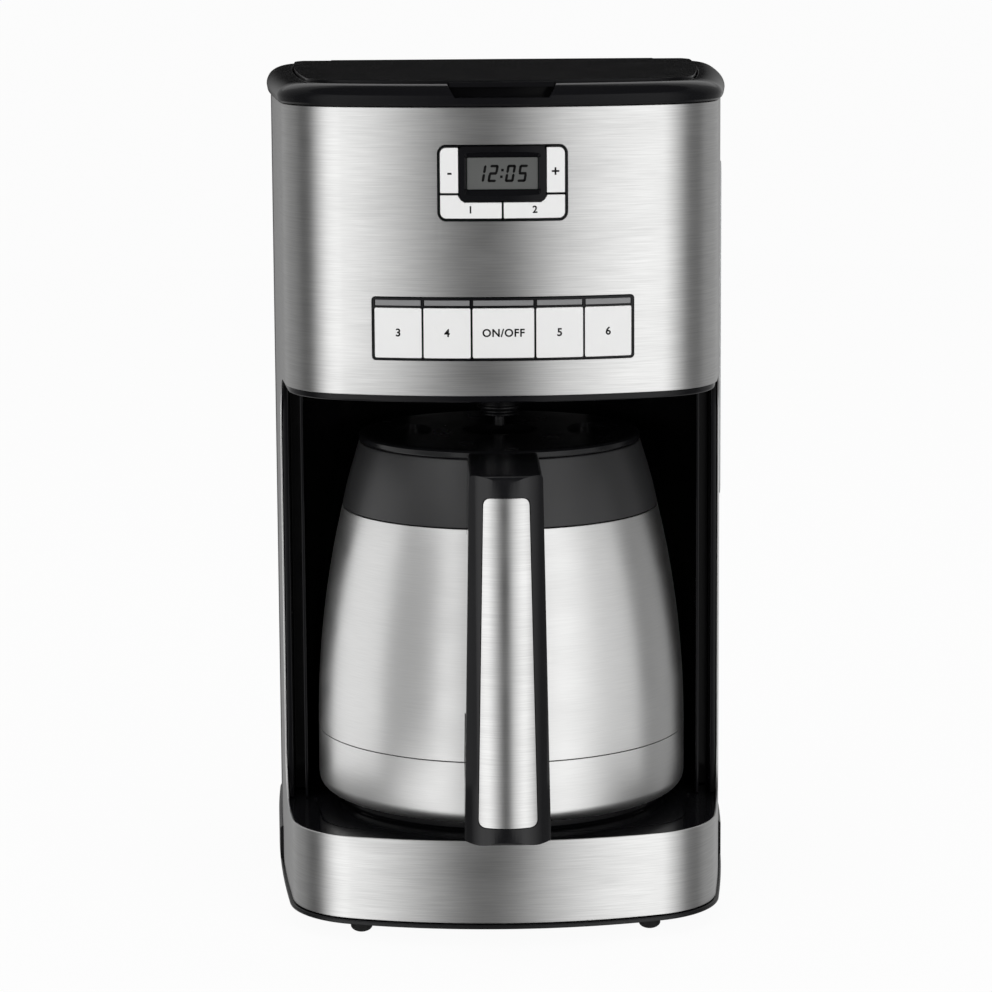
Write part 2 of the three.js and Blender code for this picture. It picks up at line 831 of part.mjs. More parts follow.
/** The rail under the lid's back edge that carries both pins. */
function hingeRail() {
  const reach = barrelHalf() + 2 * lidGap;
  let rail = common(
    within(-lidInset - slip, wrapTop + 1, hingeZ + pinRadius + lidGap),
    block(-wide, wide, hingeY - railHalf, hingeY + railHalf, 0, lidTop),
  );
  rail = less(
    rail,
    block(-reach, reach, hingeY - hingeRoom, hingeY + hingeRoom, hingeZ - barrelRadius - lidGap, lidTop),
    bar(pinRadius + seam / 3, -wide, wide, hingeY, hingeZ),
  );
  return rail;
}

/** Shower under the lid: an inlet over the riser, a covered channel and a pierced disc. */
function showerHead() {
  const top = lidTop - lidPlate - seam;
  const riser = riserPlace();
  const [low, inletLow, ceiling] = [top - showerDepth, top - showerDepth - 1, top - capWall];
  const channelLow = low + showerWall;
  let body = union(
    raised(polygon(channelPlan(riser, channelHalf)), channelLow, top),
    post(inletRadius, inletLow, top, ...riser, 16),
    post(showerRadius, low, top, 0, axisY, 24),
  );
  body = less(
    body,
    raised(polygon(channelPlan(riser, channelHalf - showerWall)), channelLow + capWall, ceiling),
    post(inletRadius - showerWall, inletLow - wall, ceiling, ...riser, 16),
    post(showerRadius - showerWall, low + capWall, ceiling, 0, axisY, 24),
  );
  for (let i = 0; i < showerHoles; i += 1) {
    const angle = (2 * Math.PI * i) / showerHoles;
    const [x, y] = [showerRing * Math.cos(angle), axisY + showerRing * Math.sin(angle)];
    body = less(body, post(holeRadius, low - wall, low + wall, x, y, 6));
  }
  return body;
}

/** A straight channel in plan from the riser to the middle of the basket. */
function channelPlan([x, y], half) {
  const length = Math.hypot(x, y - axisY);
  const [ux, uy] = [-x / length, (axisY - y) / length];
  return [
    [x - uy * half, y + ux * half], [x + uy * half, y - ux * half],
    [uy * half, axisY - ux * half], [-uy * half, axisY + ux * half],
  ];
}

// ---------------------------------------------------------------- front panel

/** Places and widths of the five brewing keys, left to right. */
function rowKeys() {
  const room = rowWidth - 2 * rowBorder - 4 * rowGap - brewKeyWidth;
  const widths = [room / 4, room / 4, brewKeyWidth, room / 4, room / 4];
  let left = -rowWidth / 2 + rowBorder;
  return widths.map((width) => {
    const key = { width, x: left + width / 2 };
    left += width + rowGap;
    return key;
  });
}

const keyTall = rowTall - 2 * rowBorder - lampTall - rowGap;
const keyMiddle = rowHeight - rowTall / 2 + rowBorder + keyTall / 2;
const lampMiddle = rowHeight + rowTall / 2 - rowBorder - lampTall / 2;

/** Flange behind the steel round a frame, with bosses that carry the control board. */
function flange(width, height, round, z) {
  const [w, h] = [width + 2 * flangeWidth, height + 2 * flangeWidth];
  const shape = roundedRectangle(w, h, round + flangeWidth, 0, z);
  const bosses = [-1, 1].map((side) => {
    const x = side * (w / 2 - bossRadius);
    const boss = roundedRectangle(2 * bossRadius, 2 * bossRadius, bossRadius - 0.01, x, z);
    return common(runBack(boss, frontY, boardY - seam), bowed(inside, 2 * boardDepth));
  });
  return union(common(runBack(shape, frontY - wall, axisY, 1), bowed(inside, inside + wall)), ...bosses);
}

function rowFrame() {
  const outer = roundedRectangle(rowWidth, rowTall, rowRound, 0, rowHeight);
  let frame = union(
    common(runBack(outer, frontY - wall, axisY), bowed(-seam, frameThickness)),
    flange(rowWidth, rowTall, rowRound, rowHeight),
  );
  for (const { width, x } of rowKeys()) {
    const key = roundedRectangle(width + 2 * slip, keyTall + 2 * slip, keyRound + slip, x, keyMiddle);
    const lamp = roundedRectangle(width, lampTall, seam, x, lampMiddle);
    frame = less(frame, runBack(key, frontY - wall, axisY));
    frame = less(frame, common(runBack(lamp, frontY - wall, axisY, 2), bowed(-wall, lampDepth)));
  }
  return frame;
}

function rowKey({ width, x }) {
  const shape = roundedRectangle(width, keyTall, keyRound, x, keyMiddle);
  return common(runBack(shape, frontY - wall, axisY), bowed(-keyProud, keyThickness));
}

function rowLamp({ width, x }) {
  const shape = roundedRectangle(width - 2 * seam, lampTall - 2 * seam, seam / 2, x, lampMiddle);
  return common(runBack(shape, frontY - wall, axisY, 2), bowed(-seam / 2, lampDepth - seam));
}

const clockTop = clockHeight + clockTall / 2;
const bezelMiddle = clockTop - bezelTall / 2;

/** Outlines of the four keys round the screen. */
function clockKeys() {
  const left = -clockWidth / 2 + clockBorder;
  const beside = -bezelWidth / 2 - slip;
  const sideTop = clockTop - clockBorder;
  const lowTop = sideTop - sideKeyTall - clockBorder;
  const lowBottom = clockHeight - clockTall / 2 + clockBorder;
  const notch = clockTop - bezelTall - slip;
  const flip = (points) => points.map(([x, z]) => [-x, z]).reverse();
  const round = clockRound - clockBorder;
  const corner = (x, z, from) => [0, 1, 2, 3].map((i) => {
    const angle = (from + 30 * i) * degrees;
    return [x + round * Math.cos(angle), z + round * Math.sin(angle)];
  });
  const side = [
    ...corner(left + round, sideTop - round, 90), [left, sideTop - sideKeyTall],
    [beside, sideTop - sideKeyTall], [beside, sideTop],
  ];
  const low = [
    [left, lowTop], ...corner(left + round, lowBottom + round, 180),
    [-slip, lowBottom], [-slip, notch], [beside + bezelRound, notch], [beside, notch + bezelRound],
    [beside, lowTop],
  ];
  return [side, flip(side), low, flip(low)];
}

/** The same outline, drawn smaller or larger by a distance along each side. */
function grown(points, out) {
  const count = points.length;
  const turn = points.reduce((sum, [x, y], i) => {
    const [u, v] = points[(i + 1) % count];
    return sum + x * v - u * y;
  }, 0) > 0 ? 1 : -1;
  return points.map(([x, y], i) => {
    const [px, py] = points[(i + count - 1) % count];
    const [qx, qy] = points[(i + 1) % count];
    const [a, b] = [Math.hypot(x - px, y - py), Math.hypot(qx - x, qy - y)];
    const [ax, ay] = [(y - py) / a, -(x - px) / a];
    const [bx, by] = [(qy - y) / b, -(qx - x) / b];
    const scale = (out * turn) / (1 + ax * bx + ay * by);
    return [x + (ax + bx) * scale, y + (ay + by) * scale];
  });
}

function clockFrame() {
  const outer = roundedRectangle(clockWidth, clockTall, clockRound, 0, clockHeight);
  let frame = union(
    common(runBack(outer, frontY - wall, axisY), bowed(-seam, frameThickness)),
    flange(clockWidth, clockTall, clockRound, clockHeight),
  );
  for (const key of clockKeys()) {
    frame = less(frame, runBack(polygon(grown(key, seam)), frontY - wall, axisY));
  }
  const bezel = roundedRectangle(bezelWidth + 2 * seam, bezelTall + wall, 1, 0, bezelMiddle + wall / 2);
  return less(
    frame,
    common(runBack(bezel, frontY - wall, axisY), bowed(-wall, bezelDepth + seam)),
    runBack(screenShape(screenRim + seam), frontY - wall, axisY),
  );
}

function screenShape(out) {
  const middle = clockTop - screenDrop - screenTall / 2;
  return roundedRectangle(screenWidth + 2 * out, screenTall + 2 * out, 0.5, 0, middle);
}

function clockKey(points) {
  const shape = polygon(grown(points, seam - slip));
  return common(runBack(shape, frontY - wall, axisY), bowed(-keyProud, keyThickness));
}

/** The dark surround that slopes in to the screen. */
function clockBezel() {
  const [w, top, bottom] = [bezelWidth / 2, clockTop - slip, clockTop - bezelTall];
  const outer = polygon([
    [-w, top], [-w, bottom + bezelRound], [-w + bezelRound, bottom],
    [w - bezelRound, bottom], [w, bottom + bezelRound], [w, top],
  ]);
  return less(
    common(runBack(outer, frontY - wall, axisY), bowed(-2 * seam, bezelDepth)),
    runBack(screenShape(screenRim), frontY - wall, axisY),
  );
}

function clockScreen() {
  return runBack(screenShape(0), frontY + screenSetback, frontY + screenSetback + screenThickness);
}

function controlBoard() {
  const half = rowWidth / 2 + flangeWidth;
  return block(
    -half, half, boardY, boardY + boardThickness,
    rowHeight - rowTall / 2, clockHeight + clockTall / 2,
  );
}

// ---------------------------------------------------------------- brewing parts

const basketTop = wrapTop - basketDrop;
const basketBottom = bayTop + wall + seatRise + seam;
const nozzleBottom = carafeTop + nozzleGap;
const nozzleEnd = nozzleBottom + dripTravel + basketWall; // rim of the holder's nozzle

/** Cone-shaped holder with a rim, which hangs its nozzle through the plate over the bay. */
function basketHolder() {
  return turned(
    [
      [nozzleBore, nozzleEnd + basketWall], [nozzleRadius, nozzleEnd],
      [nozzleRadius + 1, bayTop - funnelDrop], [basketFloorRadius + wall, bayTop - wall],
      [basketFloorRadius + wall, basketBottom], [basketFloorRadius + 3 * wall, basketBottom + 1],
      [basketRadius, basketTop - basketRim], [basketRadius + basketRim, basketTop - basketRim],
      [basketRadius + basketRim, basketTop], [basketRadius - basketWall, basketTop],
      [basketFloorRadius + 2 * wall, basketBottom + seatRise], [basketFloorRadius, basketBottom],
      [nozzleBore, basketBottom],
    ],
    0, axisY, 28,
  );
}

/** Ribbed cone that holds the paper filter inside the holder. */
function filterCone() {
  const [low, high] = [basketBottom + 3 * wall, basketTop + seam];
  const [foot, mouth] = [basketFloorRadius + coneWall, basketRadius - basketWall - coneWall];
  let cone = turned(
    [
      [foot, low], [mouth, high], [basketRadius + 1, high], [basketRadius + 1, high + coneWall],
      [mouth - coneWall, high + coneWall], [foot - coneWall, low + coneWall],
      [nozzleBore, low + coneWall], [nozzleBore, low],
    ],
    0, axisY, 28,
  );
  for (let i = 0; i < coneRibs; i += 1) {
    const angle = (360 / coneRibs) * i;
    const profile = polygon([
      [foot - seam, low + 2 * seam], [mouth - 2 * basketWall, high - 3 * basketWall],
      [mouth - 3 * basketWall, high - 3 * basketWall], [foot - basketWall, low + 2 * seam],
    ]);
    const rib = extruded(profile, 1, 1).translate(0, 0, -0.5).rotateX(Math.PI / 2);
    cone = union(cone, solid(rib.rotateZ(angle * degrees).translate(0, axisY, 0)));
  }
  return cone;
}

/** Drip stop: a finned stem in the nozzle, with a sealing head, that the carafe pushes up. */
function dripStop() {
  const finBottom = nozzleEnd + basketWall;
  const headBottom = basketBottom + seam;
  const stem = turned(
    [
      [0, nozzleBottom], [dripStem - 2 * seam, nozzleBottom], [dripStem, nozzleBottom + 2 * seam],
      [dripStem, headBottom], [dripHead, headBottom], [dripHead, headBottom + basketWall],
      [0, headBottom + basketWall + 1],
    ],
    0, axisY, 16,
  );
  const reach = nozzleBore - slip;
  const fins = [
    block(-reach, reach, axisY - finThickness / 2, axisY + finThickness / 2, finBottom, headBottom + seam),
    block(-finThickness / 2, finThickness / 2, axisY - reach, axisY + reach, finBottom, headBottom + seam),
  ];
  return union(stem, ...fins);
}

/** A horseshoe in plan, open to the back, at a distance from the carafe's axis. */
function horseshoe(reach, legs) {
  const route = [[-reach, axisY + legs, heaterHeight]];
  for (let i = 0; i <= 8; i += 1) {
    const angle = (-180 + 22.5 * i) * degrees;
    route.push([reach * Math.cos(angle), axisY + reach * Math.sin(angle), heaterHeight]);
  }
  route.push([reach, axisY + legs, heaterHeight]);
  return route;
}

/** Heating tube under the platform, which the water runs through. */
const heaterTube = () => piped(horseshoe(heaterReach, heaterLegs), heaterRadius, heaterBore, 16);

/** Heating rod that lies along the inside of the tube. */
function heatingRod() {
  const reach = heaterReach - heaterRadius - rodRadius - seam;
  return piped(horseshoe(reach, heaterLegs - rodRadius), rodRadius, 0, 16);
}

function riserTube() {
  const [x, y] = riserPlace();
  const start = axisY + heaterLegs + seam;
  return piped(
    [
      [-heaterReach, start, heaterHeight], [-heaterReach, start + 2 * riserRadius, heaterHeight],
      [x + 2 * riserRadius, y - 2 * riserRadius, heaterHeight + riserRadius / 2],
      [x, y, bayFloor], [x, y, tankFloor], [x, y, bayTop], [x, y, wrapTop + 1],
    ],
    riserRadius, riserBore, 16,
  );
}

/** Hose from the tank's outlet down to the heating tube. */
function coldHose() {
  const [x, y] = outletPlace;
  const end = axisY + heaterLegs + seam;
  const top = tankFloor - outletLength - seam;
  return piped(
    [
      [x, y, top], [x, y, (top + bayFloor) / 2], [x, y, bayFloor], [x, y, heaterHeight + 2.5 * hoseRadius],
      [x - hoseRadius / 2, y - 2 * hoseRadius, heaterHeight],
      [heaterReach + hoseRadius / 2, end + 4 * hoseRadius, heaterHeight],
      [heaterReach, end + 2 * hoseRadius, heaterHeight], [heaterReach, end, heaterHeight],
    ],
    hoseRadius, hoseBore, 14,
  );
}

/** Round thermostat with a clamp strip, on top of the tube's front bend. */
function thermostat() {
  const bottom = heaterHeight + heaterRadius + seam;
  const y = axisY - heaterReach;
  return union(
    post(thermostatRadius, bottom + 1, bottom + 1 + thermostatHeight, 0, y, 20),
    block(
      -thermostatRadius - clampWidth / 2, thermostatRadius + clampWidth / 2,
      y - clampWidth / 2, y + clampWidth / 2, bottom, bottom + clampThickness,
    ),
  );
}

function glandShape(out) {
  const [w, h] = [glandWidth + 2 * out, glandTall + 2 * out];
  return roundedRectangle(w, h, glandRound + out, glandSpread, glandHeight);
}

function cordGland() {
  return less(
    union(
      runBack(glandShape(-seam), backY - wall - 1, backY - seam),
      runBack(glandShape(glandFlange), backY - 2 * wall, backY - wall - seam),
    ),
    runBack(glandShape(-glandWall), backY - 3 * wall, backY + wall),
  );
}

// ---------------------------------------------------------------- feet

function footPlaces() {
  return [
    [-footSpread, frontY + frontFootSetback], [footSpread, frontY + frontFootSetback],
    [-rearFootSpread, frontY + rearFootSetback], [rearFootSpread, frontY + rearFootSetback],
  ];
}

function foot([x, y]) {
  return turned(
    [
      [0, 0], [0.55 * footRadius, 0], [0.87 * footRadius, 0.14 * footHeight], [footRadius, 0.4 * footHeight],
      [footRadius, footHeight - seam], [footStem, footHeight - seam], [footStem, panTop + seam],
      [footStem + footBarb, panTop + 2 * seam], [footStem, panTop + footStem], [0, panTop + footStem],
    ],
    x, y, 12,
  );
}

// ---------------------------------------------------------------- carafe

/** The steel's radius at a height: upright at the cup, drawn in by one long arc to the collar. */
function shellRadiusAt(z) {
  const rise = Math.max(0, z - shellBottom);
  const arc = (shellHeight ** 2 + shoulderDrop ** 2) / (2 * shoulderDrop);
  return carafeRadius - (arc - Math.sqrt(arc ** 2 - rise ** 2));
}

/** Points up the steel from one height to another, moved in by a distance. */
function shellProfile(from, to, moveIn, steps) {
  const points = [];
  for (let i = 0; i <= steps; i += 1) {
    const z = from + ((to - from) * i) / steps;
    points.push([shellRadiusAt(z) - moveIn, z]);
  }
  return points;
}

const around = 36; // facets round the carafe

function carafeShell() {
  return turned(
    [
      ...shellProfile(shellBottom, shellTop, 0, 6),
      ...shellProfile(shellBottom, shellTop, steel, 6).reverse(),
    ],
    0, axisY, around,
  );
}

function carafeCup() {
  const round = cupRound;
  const outer = [];
  const inner = [];
  for (let i = 0; i <= 3; i += 1) {
    const angle = (90 * degrees * i) / 3;
    const [s, c] = [Math.sin(angle), Math.cos(angle)];
    outer.push([carafeRadius - round + round * s, cupBottom + round - round * c]);
    inner.push([carafeRadius - round + (round - steel) * s, cupBottom + round - (round - steel) * c]);
  }
  return turned(
    [
      [0, cupBottom], ...outer, [carafeRadius, cupTop], [carafeRadius - steel, cupTop],
      ...inner.reverse(), [0, cupBottom + steel],
    ],
    0, axisY, around,
  );
}

function carafeFoot() {
  const radius = carafeRadius - footRingInset;
  const inner = radius - footRingWidth;
  const plate = cupBottom - seam - steel;
  return turned(
    [
      [0, plate], [inner, plate], [inner, footTop], [radius - steel, footTop],
      [radius, footTop + steel], [radius, cupBottom - seam], [0, cupBottom - seam],
    ],
    0, axisY, around,
  );
}

/** Radius of the liner's outer face at a height. */
const linerRadiusAt = (z) => Math.min(shellRadiusAt(z) - steel - linerGap, carafeRadius);
const linerSeam = cupBottom + steel + linerGap + linerRise; // where the liner's base is let in

/** The liner's wall, up to the neck that the stopper closes. */
function carafeLiner() {
  const neck = mouthRadius + neckRise;
  const heights = [linerSeam + seam, shellBottom + shellHeight / 2, shellTop - 3 * linerGap];
  const wallSide = heights.map((z) => [linerRadiusAt(z), z]);
  const top = collarBottom + neckRise;
  return turned(
    [
      ...wallSide, [neck + linerGap, shellTop - linerGap], [neck, shellTop - steel],
      [neck, top], [neck - steel, top], [neck - steel, shellTop - 2 * steel],
      [neck + linerGap - steel, shellTop - linerGap - steel],
      ...wallSide.map(([r, z]) => [r - steel, z]).reverse(),
    ],
    0, axisY, 16,
  );
}

/** The dished base of the liner, under its wall. */
function linerBase() {
  const low = cupBottom + steel + linerGap;
  const radius = linerRadiusAt(linerSeam);
  return turned(
    [
      [0, low], [radius - linerRise, low], [radius, linerSeam], [radius - steel, linerSeam],
      [radius - linerRise - steel / 2, low + steel], [0, low + steel],
    ],
    0, axisY, 16,
  );
}

/** The collar's side, from the steel up to its rim. */
function collarSide(out = 0) {
  const third = 0.3 * collarHeight;
  return [
    [shellTopRadius + out, collarBottom], [shellTopRadius - 0.27 * collarFall + out, collarBottom + third],
    [shellTopRadius - 0.6 * collarFall + out, collarBottom + 2 * third], [collarTop + out, rimTop - neckRise],
  ];
}

function carafeCollar() {
  const inner = mouthRadius + neckRise + seam;
  const ledge = collarBottom + neckRise + seam;
  return turned(
    [
      ...collarSide(), [collarTop - 2 * seam, rimTop], [mouthRadius, rimTop], [mouthRadius, ledge],
      [inner, ledge], [inner, collarBottom], [inner + wall, collarBottom],
    ],
    0, axisY, around,
  );
}

/** Stopper lid: a broad cap with finger hollows, a stem in the neck and a hole to brew through. */
function carafeStopper() {
  const [rim, stem] = [collarTop - 3 * seam, mouthRadius - slip];
  const low = stopperBottom - stopperDepth;
  const skirt = stem - 2 * wall;
  const well = brewHole + 3 * wall;
  const body = turned(
    [
      [brewHole, stopperBottom - 2 * wall], [skirt, stopperBottom - 2 * wall], [skirt, low],
      [stem - wall, low], [stem, low + wall], [stem, stopperBottom], [rim, stopperBottom],
      [rim + seam, stopperBottom + 2 * seam], [rim + seam, carafeTop - 1], [rim - 1, carafeTop - seam],
      [rim - 2 * wall, carafeTop], [well + wall, carafeTop], [well, carafeTop - fingerDepth],
      [brewHole, carafeTop - fingerDepth - 1],
    ],
    0, axisY, 30,
  );
  const hollows = [-1, 1].map((side) => {
    const shape = new THREE.Shape();
    shape.absellipse(side * fingerSpread, axisY, fingerWidth / 2, fingerLength / 2, 0, 2 * Math.PI);
    return raised(shape, carafeTop - fingerDepth, carafeTop + wall, 6);
  });
  return less(body, ...hollows);
}

// Handle seen from the side: an upright grip, a bridge to the collar and one to the cup.
const gripFront = frontY - handleReach;
const gripTop = rimTop + gripRise;
const gripBottom = cupBottom + gripStart;

function handleFace(shrink, topDrop, bottomRise, round) {
  const [a, b] = [handleTopWidth / 2 - shrink, handleBottomWidth / 2 - shrink];
  const [low, high] = [gripBottom + bottomRise, gripTop - topDrop];
  return roundedPolygon([[-b, low], [b, low], [a, high], [-a, high]], round);
}

/** What lies from one depth to another under the bowed front of the grip. */
function gripSkin(from, to) {
  const y = gripFront + gripBow;
  const round = (depth) => post(gripBow - depth, 0, lidTop, 0, y, 64);
  return common(less(round(from), round(to)), before(y));
}

/** The handle's closed loop seen from the side, before its middle is cut out. */
function loopOutline() {
  const low = gripBottom + 1.5 * gripRound;
  const shape = new THREE.Shape();
  shape.moveTo(gripFront + gripRound, gripBottom);
  shape.lineTo(cupReach(gripBottom) + 1.5 * gripRound, low);
  shape.lineTo(axisY, low);
  shape.lineTo(axisY, gripTop);
  shape.lineTo(gripFront + gripRound, gripTop);
  shape.quadraticCurveTo(gripFront, gripTop, gripFront, gripTop - gripRound);
  shape.lineTo(gripFront, gripBottom + gripRound);
  shape.quadraticCurveTo(gripFront, gripBottom, gripFront + gripRound, gripBottom);
  return shape;
}

/** The room for fingers seen from the side. */
function fingerRoom() {
  const back = gripFront + handleThickness;
  const low = gripBottom + bridgeTall;
  const shape = new THREE.Shape();
  shape.moveTo(back + gripRound, low);
  shape.lineTo(cupReach(low) - gripRound, low + gripRound);
  shape.lineTo(cupReach(shellTop) + gripRound, shellTop - wall);
  shape.lineTo(back + bridgeRound, shellTop + wall);
  shape.quadraticCurveTo(back, shellTop, back, shellTop - bridgeRound);
  shape.lineTo(back, low + 2 * gripRound);
  shape.quadraticCurveTo(back, low, back + gripRound, low);
  return shape;
}

/** How far forward the steel reaches at a height, at the handle's width. */
const cupReach = (z) => axisY - Math.sqrt(shellRadiusAt(z) ** 2 - (handleBottomWidth / 2) ** 2);

function carafeHandle() {
  const clear = turned(
    [
      [0, footTop - wall], [carafeRadius + seam, footTop - wall],
      [carafeRadius + seam, shellBottom],
      ...shellProfile(shellBottom, shellTop, -seam, 6).slice(1),
      ...collarSide(seam), [collarTop + seam, gripTop + wall], [0, gripTop + wall],
    ],
    0, axisY, around,
  );
  const upper = axisY - Math.sqrt(collarTop ** 2 - (handleTopWidth / 2) ** 2) + bridgeRound;
  const face = runBack(handleFace(0, 0, 0, gripRound / 2), gripFront - wall, upper, 3);
  const section = union(gripSkin(0, gripBow - seam), behind(gripFront + gripBow - seam));
  const recess = common(
    runBack(handleFace(inlayBorder, inlayTop, inlayBottom, inlayRound), gripFront - wall, axisY, 3),
    gripSkin(-wall, inlayDeep),
  );
  const loop = less(
    runAcross(loopOutline(), -wide / 8, wide / 8),
    runAcross(fingerRoom(), -wide / 8, wide / 8),
  );
  return less(common(loop, face, section), clear, recess);
}

function handleInlay() {
  const face = handleFace(inlayBorder + seam, inlayTop + seam, inlayBottom + seam, inlayRound);
  return common(runBack(face, gripFront - wall, axisY, 3), gripSkin(seam / 2, inlayDeep - seam));
}

// ---------------------------------------------------------------- assembly

const finishes = {
  brushedSteel: { color: 0xc9c8c6, roughness: 0.34, metalness: 1 },
  plainSteel: { color: 0xb9b9b8, roughness: 0.25, metalness: 1 },
  glossBlack: { color: 0x0b0b0c, roughness: 0.16, metalness: 0 },
  satinBlack: { color: 0x141415, roughness: 0.42, metalness: 0 },
  darkGrey: { color: 0x333436, roughness: 0.5, metalness: 0 },
  ivory: { color: 0xe9e8e4, roughness: 0.4, metalness: 0 },
  lampGrey: { color: 0x77787a, roughness: 0.3, metalness: 0 },
  screen: { color: 0x5f625f, roughness: 0.2, metalness: 0 },
  clear: { color: 0xdfe3e4, roughness: 0.15, metalness: 0 },
  smoke: { color: 0x55585a, roughness: 0.3, metalness: 0 },
  rubber: { color: 0x101010, roughness: 0.8, metalness: 0 },
  silicone: { color: 0xcfcfca, roughness: 0.6, metalness: 0 },
  aluminium: { color: 0xa9abad, roughness: 0.45, metalness: 1 },
  boardGreen: { color: 0x1f5a35, roughness: 0.5, metalness: 0 },
};

const machine = new THREE.Group();

function place(name, body, finish, parent = machine) {
  const mesh = new THREE.Mesh(toGeometry(body), new THREE.MeshStandardMaterial(finishes[finish]));
  mesh.name = name;
  parent.add(mesh);
}

place("front_wrap", frontWrap(), "brushedSteel");
place("rear_housing", rearHousing(), "satinBlack");
place("bay_liner", bayLiner(), "glossBlack");
place("head_floor", headFloor(), "glossBlack");
place("platform", platform(), "glossBlack");
place("base_pan", basePan(), "satinBlack");
place("water_tank", waterTank(), "smoke");
place("tank_base", tankBase(), "smoke");
place("water_window", waterWindow(), "clear");
place("top_frame", topFrame(), "glossBlack");
place("hinge_rail", hingeRail(), "satinBlack");
place("hinge_pin_left", hingePin(-1), "plainSteel");
place("hinge_pin_right", hingePin(1), "plainSteel");
footPlaces().forEach((at, i) => {
  place(["foot_front_left", "foot_front_right", "foot_rear_left", "foot_rear_right"][i], foot(at), "rubber");
});

place("basket_holder", basketHolder(), "satinBlack");
place("filter_cone", filterCone(), "smoke");
place("drip_stop", dripStop(), "satinBlack");
place("heater_tube", heaterTube(), "aluminium");
place("heating_rod", heatingRod(), "plainSteel");
place("thermostat", thermostat(), "plainSteel");
place("riser_tube", riserTube(), "silicone");
place("cold_hose", coldHose(), "silicone");
place("cord_gland", cordGland(), "rubber");

place("control_board", controlBoard(), "boardGreen");
place("clock_frame", clockFrame(), "glossBlack");
place("clock_bezel", clockBezel(), "glossBlack");
place("clock_screen", clockScreen(), "screen");
clockKeys().forEach((key, i) => {
  place(["key_hour", "key_minute", "key_program", "key_tone"][i], clockKey(key), "ivory");
});
place("button_frame", rowFrame(), "glossBlack");
rowKeys().forEach((key, i) => {
  const name = ["auto", "bold", "brew", "small_batch", "clean"][i];
  place(`lamp_${name}`, rowLamp(key), "lampGrey");
  place(`key_${name}`, rowKey(key), "ivory");
});

const lidGroup = new THREE.Group();
machine.add(lidGroup);
place("lid", lid(), "glossBlack", lidGroup);
place("shower_head", showerHead(), "satinBlack", lidGroup);

const carafe = new THREE.Group();
machine.add(carafe);
place("carafe_shell", carafeShell(), "brushedSteel", carafe);
place("carafe_cup", carafeCup(), "brushedSteel", carafe);
place("carafe_foot", carafeFoot(), "satinBlack", carafe);
place("carafe_liner", carafeLiner(), "plainSteel", carafe);
place("liner_base", linerBase(), "plainSteel", carafe);
place("carafe_collar", carafeCollar(), "darkGrey", carafe);
place("carafe_handle", carafeHandle(), "satinBlack", carafe);
place("handle_inlay", handleInlay(), "brushedSteel", carafe);
place("carafe_stopper", carafeStopper(), "satinBlack", carafe);

export default machine;
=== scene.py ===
"""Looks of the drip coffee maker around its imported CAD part."""

import json
from math import acos, asin, cos, degrees, hypot, pi, radians, sin, sqrt, tan
import bmesh
import bpy
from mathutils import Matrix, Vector

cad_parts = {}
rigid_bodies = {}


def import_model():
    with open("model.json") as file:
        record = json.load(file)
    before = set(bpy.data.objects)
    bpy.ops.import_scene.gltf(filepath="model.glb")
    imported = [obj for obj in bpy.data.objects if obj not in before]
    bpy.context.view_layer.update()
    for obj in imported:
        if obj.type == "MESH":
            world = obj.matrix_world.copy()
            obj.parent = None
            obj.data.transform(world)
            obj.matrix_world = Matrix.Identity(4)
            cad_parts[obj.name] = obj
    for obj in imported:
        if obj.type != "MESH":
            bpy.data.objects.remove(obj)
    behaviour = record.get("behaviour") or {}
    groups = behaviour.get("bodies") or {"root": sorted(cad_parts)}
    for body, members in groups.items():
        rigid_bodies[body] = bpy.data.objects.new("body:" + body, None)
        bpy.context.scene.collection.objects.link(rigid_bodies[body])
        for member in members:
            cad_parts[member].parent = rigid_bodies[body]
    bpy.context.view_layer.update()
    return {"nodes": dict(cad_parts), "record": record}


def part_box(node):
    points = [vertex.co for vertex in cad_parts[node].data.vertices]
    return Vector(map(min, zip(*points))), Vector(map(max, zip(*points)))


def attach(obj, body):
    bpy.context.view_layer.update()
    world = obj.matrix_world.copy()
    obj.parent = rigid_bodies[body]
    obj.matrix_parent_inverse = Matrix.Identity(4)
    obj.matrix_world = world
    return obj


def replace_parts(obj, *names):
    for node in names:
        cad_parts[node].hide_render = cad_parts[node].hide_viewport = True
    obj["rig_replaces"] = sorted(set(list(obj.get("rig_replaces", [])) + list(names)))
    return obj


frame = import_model()

MM = 0.001


def span(node):
    """Lowest and highest corner of a CAD node in millimetres."""
    low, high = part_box(node)
    return [v / MM for v in low], [v / MM for v in high]


# -------------------- places, in millimetres

WRAP, HOUSING, PLATFORM = span("front_wrap"), span("rear_housing"), span("platform")
SHELL, CUP, COLLAR = span("carafe_shell"), span("carafe_cup"), span("carafe_collar")
STOPPER, FOOT, HANDLE = span("carafe_stopper"), span("carafe_foot"), span("carafe_handle")
LID, CAP, PAN = span("lid"), span("top_frame"), span("base_pan")
CLOCK, ROW = span("clock_frame"), span("button_frame")

FRONT, BACK = WRAP[0][1], HOUSING[1][1]
AXIS = (SHELL[0][1] + SHELL[1][1]) / 2
BAY_FLOOR = PLATFORM[1][2]
WRAP_BOTTOM, WRAP_TOP = WRAP[0][2], WRAP[1][2]
WRAP_REAR = WRAP[1][1]
LID_TOP, SHOULDER_TOP = LID[1][2], CAP[1][2]

